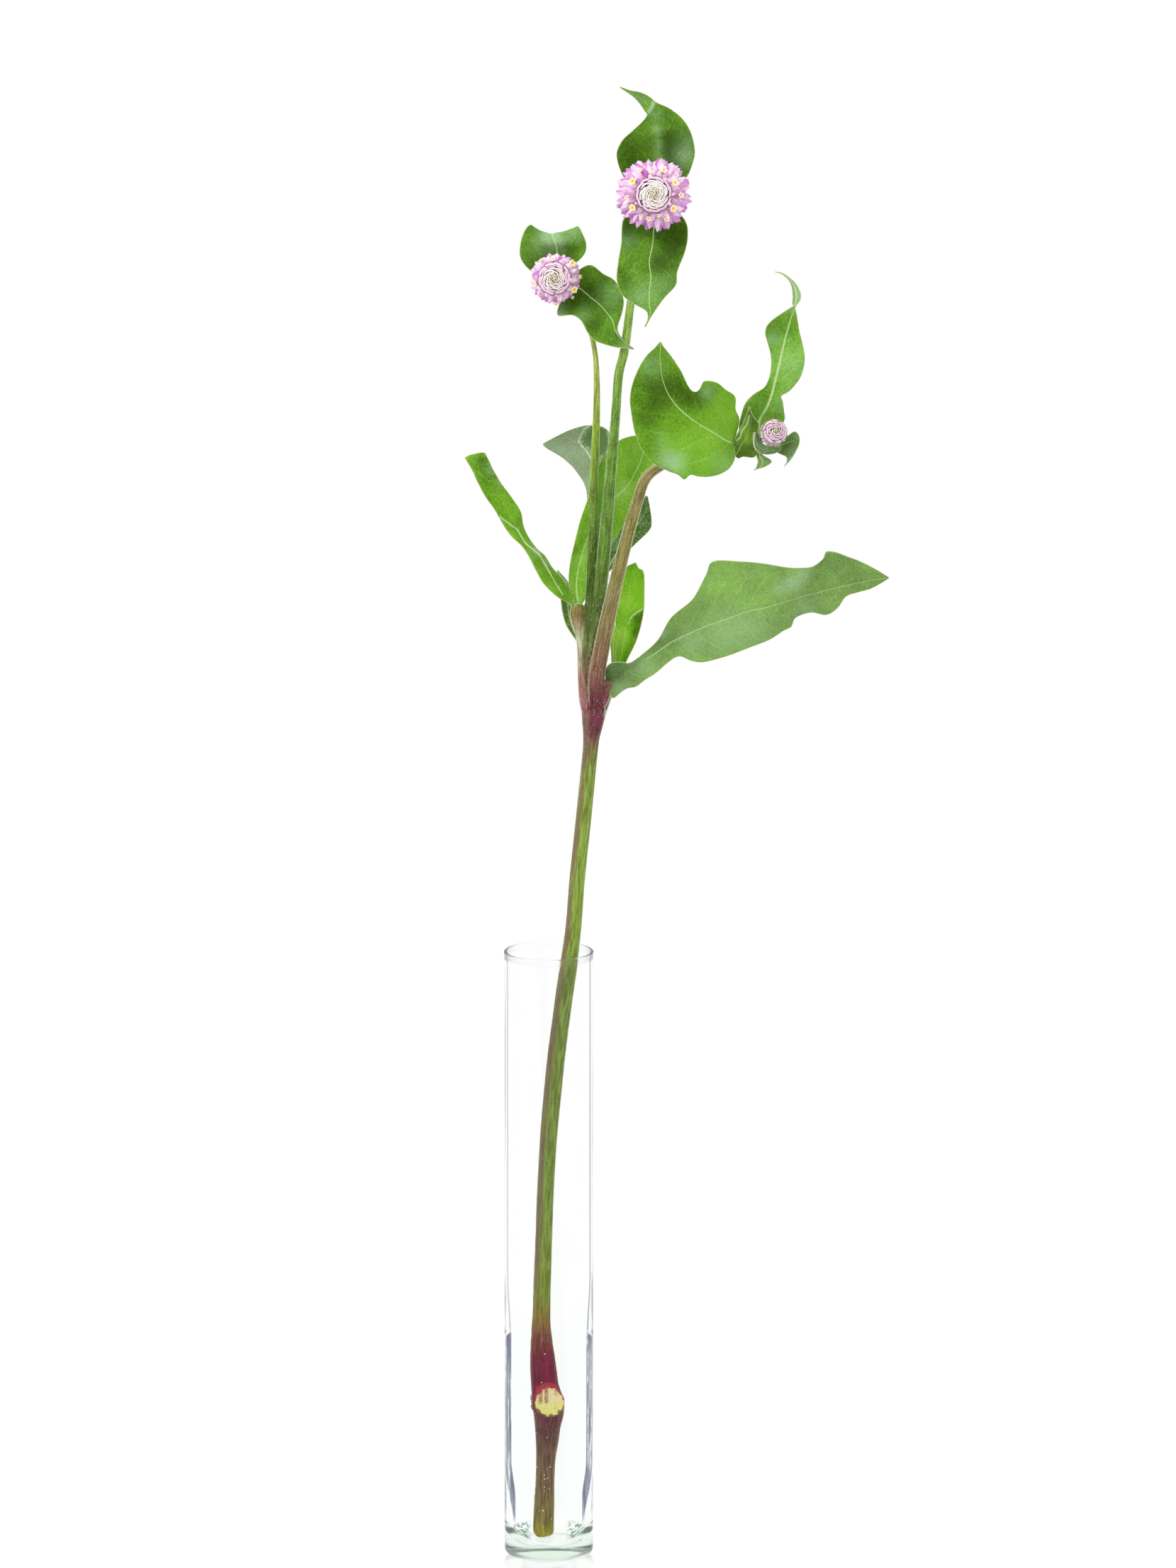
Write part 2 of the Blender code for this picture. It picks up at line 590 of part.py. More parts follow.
def arc(centre, radius, start, end, steps):
    """Points of an arc in the profile plane, angles in degrees."""
    points = []
    for step in range(steps + 1):
        angle = math.radians(start + (end - start) * step / steps)
        points.append((centre[0] + radius * math.cos(angle), centre[1] + radius * math.sin(angle)))
    return points


def cavity_radius(height):
    """Inner radius of the glass at a height above its rounded bottom."""
    top = VASE_RADIUS - WALL_TOP
    low = VASE_RADIUS - WALL_LOW
    if height >= TAPER_TOP:
        return top
    if height >= TAPER_LOW:
        share = (height - TAPER_LOW) / (TAPER_TOP - TAPER_LOW)
        return low + (top - low) * share ** 2 * (3 - 2 * share)
    return low


def cavity_profile(inset):
    """Cavity outline from the centre of its floor up to the taper's top, drawn in by inset."""
    low = cavity_radius(TAPER_LOW)
    floor = GLASS_FLOOR + inset
    corner = (low - CAVITY_HEEL, GLASS_FLOOR + CAVITY_HEEL)
    points = [(1.0, floor), (low - CAVITY_HEEL, floor)]
    points += arc(corner, CAVITY_HEEL - inset, -90, 0, 5)[1:]
    points.append((low - inset, (GLASS_FLOOR + TAPER_LOW) / 2))
    for step in range(TAPER_STEPS + 1):
        height = TAPER_LOW + (TAPER_TOP - TAPER_LOW) * step / TAPER_STEPS
        points.append((cavity_radius(height) - inset, height))
    return points


def build_vase():
    edge = VASE_RADIUS - BASE_FLAT_RADIUS
    outer = arc((BASE_FLAT_RADIUS, edge), edge, -90, 0, 4)
    outer.append((VASE_RADIUS, LIP_START / 3))
    outer.append((VASE_RADIUS, LIP_START * 2 / 3))
    outer.append((VASE_RADIUS, LIP_START))
    lip = (LIP_RADIUS + VASE_RADIUS - WALL_TOP) / 2 + 0.05
    lip_half = LIP_RADIUS - lip
    outer += arc((lip, VASE_HEIGHT - lip_half), lip_half, 0, 180, 6)
    inner = cavity_profile(0.0)
    inner.append((VASE_RADIUS - WALL_TOP, (TAPER_TOP + LIP_START) / 2))
    inner.append((VASE_RADIUS - WALL_TOP, LIP_START))
    profile = outer + inner[::-1]
    glass = material("vase_glass", (0.86, 0.93, 0.91), 0.03)
    return lathe("vase", profile, VASE_SEGMENTS, glass)


def build_water():
    wall = cavity_profile(GAP)
    body = [point for point in wall if point[1] < WATER_LEVEL - 1]
    radius = cavity_radius(WATER_LEVEL) - GAP
    rim = [(radius, WATER_LEVEL + MENISCUS), (radius - MENISCUS, WATER_LEVEL), (4.0, WATER_LEVEL)]
    liquid = material("water_clear", (0.90, 0.95, 0.96), 0.02)
    return lathe("water", body + rim, VASE_SEGMENTS, liquid)


def tube(name, route, mat, sides=TUBE_SIDES, swell=0.0, extend=0.0):
    """Round tube along a smooth route; swell widens its radius, extend lengthens its start."""
    last = len(route) - 1
    length = sum((seen(*b[:3]) - seen(*a[:3])).length for a, b in zip(route, route[1:])) / MM
    steps = max(last, round(length / RING_STEP))
    samples = [curve_point(route, last * step / steps) for step in range(steps + 1)]
    centres = [seen(*sample[:3]) for sample in samples]
    radii = [(sample[3] / 2 + swell) * MM for sample in samples]
    first_way = (centres[0] - centres[1]).normalized()
    centres[0] = centres[0] + first_way * extend * MM
    if swell:
        last_way = (centres[-1] - centres[-2]).normalized()
        centres[-1] = centres[-1] + last_way * swell * MM
    bm = bmesh.new()
    rings = []
    side = Vector((1, 0, 0))
    for index, centre in enumerate(centres):
        ahead = centres[min(index + 1, steps)]
        behind = centres[max(index - 1, 0)]
        way = (ahead - behind).normalized()
        side = (side - way * side.dot(way)).normalized()
        other = way.cross(side)
        ring = []
        for step in range(sides):
            angle = 2 * math.pi * (step + 0.5 * (index % 2)) / sides
            offset = side * math.cos(angle) + other * math.sin(angle)
            ring.append(bm.verts.new(centre + offset * radii[index]))
        rings.append(ring)
    for index, (lower, upper) in enumerate(zip(rings, rings[1:])):
        for step in range(sides):
            following = (step + 1) % sides
            if index % 2:
                bm.faces.new((lower[step], lower[following], upper[following]))
                bm.faces.new((lower[step], upper[following], upper[step]))
            else:
                bm.faces.new((lower[step], lower[following], upper[step]))
                bm.faces.new((lower[following], upper[following], upper[step]))
    bm.faces.new(list(reversed(rings[0])))
    bm.faces.new(rings[-1])
    return add_object(name, bm, mat)


def apply_modifiers(obj):
    graph = bpy.context.evaluated_depsgraph_get()
    mesh = bpy.data.meshes.new_from_object(obj.evaluated_get(graph))
    obj.modifiers.clear()
    obj.data = mesh


def fuse(name, parts, mat):
    """One solid from overlapping solids: the first takes in the rest, which are then removed."""
    body = parts[0]
    group = bpy.data.collections.new(name + "_parts")
    for part in parts[1:]:
        group.objects.link(part)
    union = body.modifiers.new("Fuse", "BOOLEAN")
    union.operation = "UNION"
    union.operand_type = "COLLECTION"
    union.collection = group
    union.use_self = True
    apply_modifiers(body)
    for part in parts[1:]:
        bpy.data.objects.remove(part, do_unlink=True)
    bpy.data.collections.remove(group)
    body.name = name
    body.data.materials.clear()
    body.data.materials.append(mat)
    return body


def cut(obj, cutter):
    difference = obj.modifiers.new("Clearance", "BOOLEAN")
    difference.operation = "DIFFERENCE"
    difference.object = cutter
    apply_modifiers(obj)


def keep_largest(obj):
    """Drops the crumbs that a cut leaves, keeping the body with the most vertices."""
    bm = bmesh.new()
    bm.from_mesh(obj.data)
    left = set(bm.verts)
    bodies = []
    while left:
        body = []
        queue = [left.pop()]
        while queue:
            vert = queue.pop()
            body.append(vert)
            for edge in vert.link_edges:
                other = edge.other_vert(vert)
                if other in left:
                    left.remove(other)
                    queue.append(other)
        bodies.append(body)
    bodies.sort(key=len)
    for body in bodies[:-1]:
        bmesh.ops.delete(bm, geom=body, context="VERTS")
    bm.to_mesh(obj.data)
    bm.free()


def build_stem():
    """The whole grown stem as one solid, and the same stem swollen by the gap, to cut with."""
    bark = material("stem_green", (0.30, 0.34, 0.16), 0.6)
    parts = [tube("main_stem", MAIN_STEM, bark)]
    routes = {name: drifted(route, BRANCH_SIDES.get(name, "low")) for name, route in BRANCHES.items()}
    parts += [tube(name, route, bark, sides=8) for name, route in routes.items()]
    stem = fuse("stem", parts, bark)
    swollen = [tube("main_clear", MAIN_STEM, bark, swell=GAP, extend=4.0)]
    swollen += [tube(name, route, bark, sides=8, swell=GAP) for name, route in routes.items()]
    clearance = fuse("stem_clearance", swollen, bark)
    smooth_shade(stem)
    return stem, clearance


def leaf_row(stations, place, cells):
    """Points across a leaf at one place along it, from its left edge over the rib to its right."""
    left = curve_point([station[0] for station in stations], place)
    rib = curve_point([station[1] for station in stations], place)
    right = curve_point([station[2] for station in stations], place)
    row = []
    for step in range(cells + 1):
        across = 2 * step / cells - 1
        bend = CROSS_ROUNDNESS * across ** 2 + (1 - CROSS_ROUNDNESS) * abs(across)
        point = []
        for lo, mid, hi in zip(left, rib, right):
            point.append(mid + across * (hi - lo) / 2 + bend * ((lo + hi) / 2 - mid))
        row.append(seen(*point))
    return row


def build_leaf(name, stations, mat):
    last = len(stations) - 1
    cells_along = last * max(1, round(LEAST_CELLS_ALONG / last))
    rows = [leaf_row(stations, last * step / cells_along, CELLS_ACROSS)
            for step in range(cells_along + 1)]
    bm = bmesh.new()
    faces = {}
    for face, sign in (("upper", 1), ("under", -1)):
        grid = []
        for r, row in enumerate(rows):
            line = []
            for c, point in enumerate(row):
                along = rows[min(r + 1, cells_along)][c] - rows[max(r - 1, 0)][c]
                across = row[min(c + 1, CELLS_ACROSS)] - row[max(c - 1, 0)]
                normal = along.cross(across).normalized()
                line.append(bm.verts.new(point + normal * sign * BLADE_THICKNESS / 2 * MM))
            grid.append(line)
        faces[face] = grid
    upper = faces["upper"]
    under = faces["under"]
    for r in range(cells_along):
        for c in range(CELLS_ACROSS):
            flip = (r + c) % 2
            for grid in (upper, under):
                a, b = grid[r][c], grid[r][c + 1]
                d, e = grid[r + 1][c], grid[r + 1][c + 1]
                if flip:
                    bm.faces.new((a, b, e))
                    bm.faces.new((a, e, d))
                else:
                    bm.faces.new((a, b, d))
                    bm.faces.new((b, e, d))
        for c in (0, CELLS_ACROSS):
            bm.faces.new((upper[r][c], upper[r + 1][c], under[r + 1][c], under[r][c]))
    for r in (0, cells_along):
        for c in range(CELLS_ACROSS):
            bm.faces.new((upper[r][c], upper[r][c + 1], under[r][c + 1], under[r][c]))
    return add_object(name, bm, mat)


def spike(name, root, tip, width, thickness, flat, mat):
    """Pointed scale from root to tip, widest a third of the way, thin along the flat direction."""
    way = tip - root
    flat = (flat - way.normalized() * flat.dot(way.normalized())).normalized()
    side = way.normalized().cross(flat)
    bm = bmesh.new()
    rings = []
    for share, wide in ((0.0, 0.8), (0.55, 1.0)):
        centre = root + way * share
        ring = []
        for s, f in ((1, 0), (0, 1), (-1, 0), (0, -1)):
            offset = side * (s * wide * width / 2 * MM) + flat * (f * thickness / 2 * MM)
            ring.append(bm.verts.new(centre + offset))
        rings.append(ring)
    point = bm.verts.new(tip)
    for step in range(4):
        following = (step + 1) % 4
        low, high = rings
        bm.faces.new((low[step], low[following], high[following]))
        bm.faces.new((low[step], high[following], high[step]))
        bm.faces.new((high[step], high[following], point))
    bm.faces.new(list(reversed(rings[0])))
    return add_object(name, bm, mat)


def build_head(name, spec, mat):
    """Round core with pointed bracts on a golden-angle spiral and a ring of small florets."""
    centre = seen(*drifted([spec["centre"]], spec["side"])[0])
    axis = facing(*spec["faces"])
    side = axis.orthogonal().normalized()
    other = axis.cross(side)
    wide, deep = spec["core"]
    bm = bmesh.new()
    bmesh.ops.create_icosphere(bm, subdivisions=2, radius=1.0)
    for vert in bm.verts:
        x, y, z = vert.co
        vert.co = centre + (side * x * wide + other * y * wide + axis * z * deep) * MM
    parts = [add_object(name + "_core", bm, mat)]
    count = spec["bracts"]
    stretch = spec["reach"] - wide
    for index in range(count):
        polar = math.acos(0.97 - 1.47 * (index + 0.5) / count)
        turn = index * GOLDEN_ANGLE
        outward = side * math.cos(turn) + other * math.sin(turn)
        ray = outward * math.sin(polar) + axis * math.cos(polar)
        skin = centre + (outward * math.sin(polar) * wide + axis * math.cos(polar) * deep) * MM
        lean = (ray + axis * 0.25).normalized()
        inner = skin - ray * 2.2 * MM
        tip = skin + lean * stretch * MM
        parts.append(spike(f"{name}_bract_{index}", inner, tip, spec["bract_width"], 1.2, axis, mat))
    polar = math.radians(spec["floret_angle"])
    for index in range(spec["florets"]):
        turn = 2 * math.pi * (index + 0.3) / spec["florets"]
        outward = side * math.cos(turn) + other * math.sin(turn)
        ray = outward * math.sin(polar) + axis * math.cos(polar)
        skin = centre + (outward * math.sin(polar) * wide + axis * math.cos(polar) * deep) * MM
        tip = skin + ray * stretch * 0.9 * MM
        parts.append(spike(f"{name}_floret_{index}", skin - ray * 1.5 * MM, tip, 1.6, 1.6, axis, mat))
    head = fuse(name, parts, mat)
    return head


def main():
    clear_scene()
    build_vase()
    water = build_water()
    stem, clearance = build_stem()
    cut(water, clearance)
    keep_largest(water)
    leaf_mat = material("leaf_green", (0.16, 0.27, 0.13), 0.55)
    for name, spec in LEAVES.items():
        stations = leaned(spec["stations"], spec["side"], spec["lean"])
        leaf = build_leaf(name, stations, leaf_mat.copy())
        cut(leaf, clearance)
        keep_largest(leaf)
    bract_mat = material("bract_lilac", (0.75, 0.50, 0.68), 0.5)
    for name, spec in HEADS.items():
        head = build_head(name, spec, bract_mat.copy())
        cut(head, clearance)
        keep_largest(head)
    bpy.data.objects.remove(clearance, do_unlink=True)


main()
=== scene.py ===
"""Globe amaranth stem in a glass tube vase: the looks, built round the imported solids."""

import math
from collections import namedtuple

import bpy
import numpy as np
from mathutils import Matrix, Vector, noise
from mathutils.kdtree import KDTree


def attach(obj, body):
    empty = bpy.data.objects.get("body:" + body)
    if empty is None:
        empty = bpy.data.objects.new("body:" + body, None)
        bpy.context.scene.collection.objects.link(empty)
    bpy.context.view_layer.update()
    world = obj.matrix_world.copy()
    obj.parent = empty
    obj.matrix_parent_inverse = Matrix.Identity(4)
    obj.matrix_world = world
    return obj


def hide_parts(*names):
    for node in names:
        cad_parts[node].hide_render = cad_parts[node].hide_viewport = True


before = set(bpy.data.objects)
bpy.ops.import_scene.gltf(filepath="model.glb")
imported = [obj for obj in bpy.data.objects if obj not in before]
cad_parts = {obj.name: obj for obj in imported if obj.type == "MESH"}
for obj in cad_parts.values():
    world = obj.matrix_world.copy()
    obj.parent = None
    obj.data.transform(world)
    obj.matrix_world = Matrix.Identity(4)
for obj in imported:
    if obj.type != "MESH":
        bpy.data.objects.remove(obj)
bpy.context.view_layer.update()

MM = 0.001

# Vase and water, in millimetres, as in the solids
VASE_HEIGHT = 210.0
VASE_RADIUS = 15.0
LIP_RADIUS = 15.2
BASE_FLAT_RADIUS = 12.2
WALL_TOP = 0.95
WALL_LOW = 1.8
TAPER_TOP = 100.0
TAPER_LOW = 78.0
CAVITY_HEEL = 8.0
LIP_START = 207.0
WATER_LEVEL = 78.0

# How the vase is shown: steps round it, the small flat at its axis, its foot as (radius, height),
# and how far its lip swells out, and over what height
VASE_SEGMENTS = 144
NEAR_AXIS = 0.15
FOOT_PROFILE = [(0.15, 0.35), (8.5, 0.3), (10.6, 0.0)]
LIP_SWELL = 0.05
LIP_EASE = 3

# The inside bottom is shown a little lower than in the solid, where the picture puts it
GLASS_FLOOR = 4.3

# The water reaches a little into the glass, and creeps up at the glass and at the stem
WATER_OVERLAP = 0.08
MENISCUS = 0.15
STEM_MENISCUS = 0.5
MENISCUS_REACH = 0.9
STEM_AT_SURFACE = (-2.6, -0.3)
STEM_RADIUS_AT_SURFACE = 3.3

# How strongly the shown glass and water bend light
GLASS_BEND = 1.25
WATER_BEND = 1.02

# The stem and leaves are laid out as seen by an eye that looks down by this angle
EYE_ELEVATION = math.radians(12.5)
CROSS_ROUNDNESS = 0.6
GOLDEN_ANGLE = math.pi * (3 - math.sqrt(5))

# Above the fork, each side of the plant drifts away from the eye by this share of its rise
FORK_UP = 285.0
DRIFT = {"low": 0.0, "left": 0.12, "centre": 0.03, "right": -0.14}

# Each route point is (right, up, away from the eye, diameter)
MAIN_STEM = [
    (-1.2, 4.6, 1.2, 4.9), (-1.5, 5.9, 1.3, 6.3), (-1.8, 8, 1.5, 7), (-1.7, 13, 1.7, 6.9),
    (-1.5, 18.7, 1.9, 6.7), (-1.3, 24.5, 2, 6.3), (-1.1, 30.2, 2, 6.3), (-0.9, 34, 1.9, 6.6),
    (-0.6, 38.5, 1.7, 7.6), (-0.4, 43.7, 1.5, 8.6), (-0.1, 47.5, 1.3, 10),
    (-0.2, 51.5, 1.2, 10.6), (-0.8, 54.5, 1, 9.9), (-1.4, 58, 0.8, 9.1), (-1.8, 62.9, 0.5, 8.8),
    (-2.1, 67.5, 0.2, 8.1), (-2.4, 72, 0, 7.3), (-2.6, 77, -0.3, 6.6), (-2.5, 82, -0.6, 6.1),
    (-2.2, 94, -1.2, 5.9), (-1.7, 108, -1.9, 5.7), (-1.3, 120, -2.6, 5.7),
    (-0.7, 132, -3.3, 5.7), (0.1, 144, -4, 5.8), (1.2, 156, -4.8, 6), (2.4, 168, -5.5, 6),
    (3.9, 180, -6.3, 5.9), (5.5, 192, -7.2, 5.9), (7.1, 203, -7.9, 5.7),
    (8.5, 214.5, -8.3, 5.4), (9.6, 229, -8.9, 5.3), (11.8, 250, -9.8, 5.3),
    (13.9, 271, -10.8, 5.2), (14.4, 277, -11, 5.6), (14.9, 282, -11, 7.2),
    (15.2, 285.5, -11, 8), (15.4, 288, -11, 6.5),
]

# The side that a branch drifts with, where it isn't low
BRANCH_SIDES = {"stalk_left": "left", "stalk_centre": "centre", "stalk_right": "right"}

BRANCHES = {
    "stalk_left": [
        (14.2, 285.5, -12, 2.8), (11.8, 297, -12.8, 2.5), (12.4, 307, -13, 2.5),
        (13.8, 325, -12.6, 2.9), (14.8, 343, -11.5, 3.2), (15.4, 365.5, -10.5, 3.1),
        (16.2, 387, -9.5, 2.5), (16.2, 400, -9, 2.1), (15.5, 408.5, -8, 1.9),
        (13.2, 417.5, -5.5, 1.9), (8.6, 425.5, -3.2, 1.9), (4.8, 430, -3.8, 2),
        (2.9, 432, -6.5, 2.4), (2.6, 432.5, -9, 3),
    ],
    "stalk_centre": [
        (15.1, 285.5, -11, 3.2), (13.1, 297, -10.9, 2.8), (14.2, 307, -10.6, 3.1),
        (17.3, 325, -9.7, 4.1), (19, 343, -8.8, 4.4), (20.9, 365.5, -7.5, 3.8),
        (22.7, 387, -6, 3.2), (23.7, 400, -5, 3.2), (25.7, 408.5, -4, 3.1),
        (27.6, 423, -2.8, 2.9), (29.5, 435.5, -1.5, 2.7), (32.4, 450, -1.2, 2.6),
        (34.6, 457, -3.2, 2.6), (35.5, 459.5, -6.8, 2.8), (35.7, 460, -9.5, 3.4),
    ],
    "stalk_right": [
        (16.3, 285.5, -12, 5.6), (16.2, 297, -13.2, 5.6), (17.8, 307, -13.5, 5.5),
        (21.7, 325, -14, 5), (26, 343, -14, 4.4), (30, 357, -13.5, 3.9), (32.4, 364, -13, 3.7),
        (36.5, 368, -12.5, 3.4), (44.2, 371.5, -12, 3), (54.2, 373, -13, 2.8),
        (61.4, 374, -14, 2.6), (64.3, 374.5, -14.6, 2.6), (68.6, 376, -16.2, 2.4),
        (72.7, 378, -16.2, 2.2), (74.8, 379.2, -18.4, 2.6),
    ],
    "shoot_left": [
        (12.8, 285.5, -10.5, 3.2), (11.6, 291, -10.4, 2.9), (11.2, 297, -10.3, 2.7),
        (10.9, 307, -10, 2.7), (10.5, 312.5, -9.6, 3.2), (9.8, 316.5, -9.2, 4.4),
        (9.6, 320, -9, 5), (9.6, 322.6, -8.8, 3.6),
    ],
    "shoot_back": [
        (15.8, 285.5, -9.8, 3.2), (17, 303.5, -6.5, 2.8), (18.2, 320, -3, 2.8),
        (18.5, 334.5, 0.2, 2.6), (18.2, 338, 0.8, 2.4),
    ],
    "shoot_axil": [(17.8, 285.5, -10.6, 3.2), (20.9, 293.5, -9.5, 2.4), (22.6, 298.5, -9, 2.2)],
    "right_petiole": [
        (15.8, 285.2, -11.4, 4.4), (17.9, 290, -12.2, 4.4), (19.6, 293.8, -13, 3.8),
        (20.8, 296.6, -13.8, 3),
    ],
    "cut_side_shoot": [(-0.2, 50.5, 1.3, 9.6), (0, 51.2, -1.5, 10.1), (0.24, 52, -4.7, 10.2)],
    "torn_rim": [
        (-4.2, 55, -0.8, 1.6), (-5.7, 53.4, -1.2, 1.3), (-5.3, 51.6, -1.6, 1),
        (-5.6, 50.2, -1.4, 1.2), (-4.2, 48.6, -1, 1.6),
    ],
}

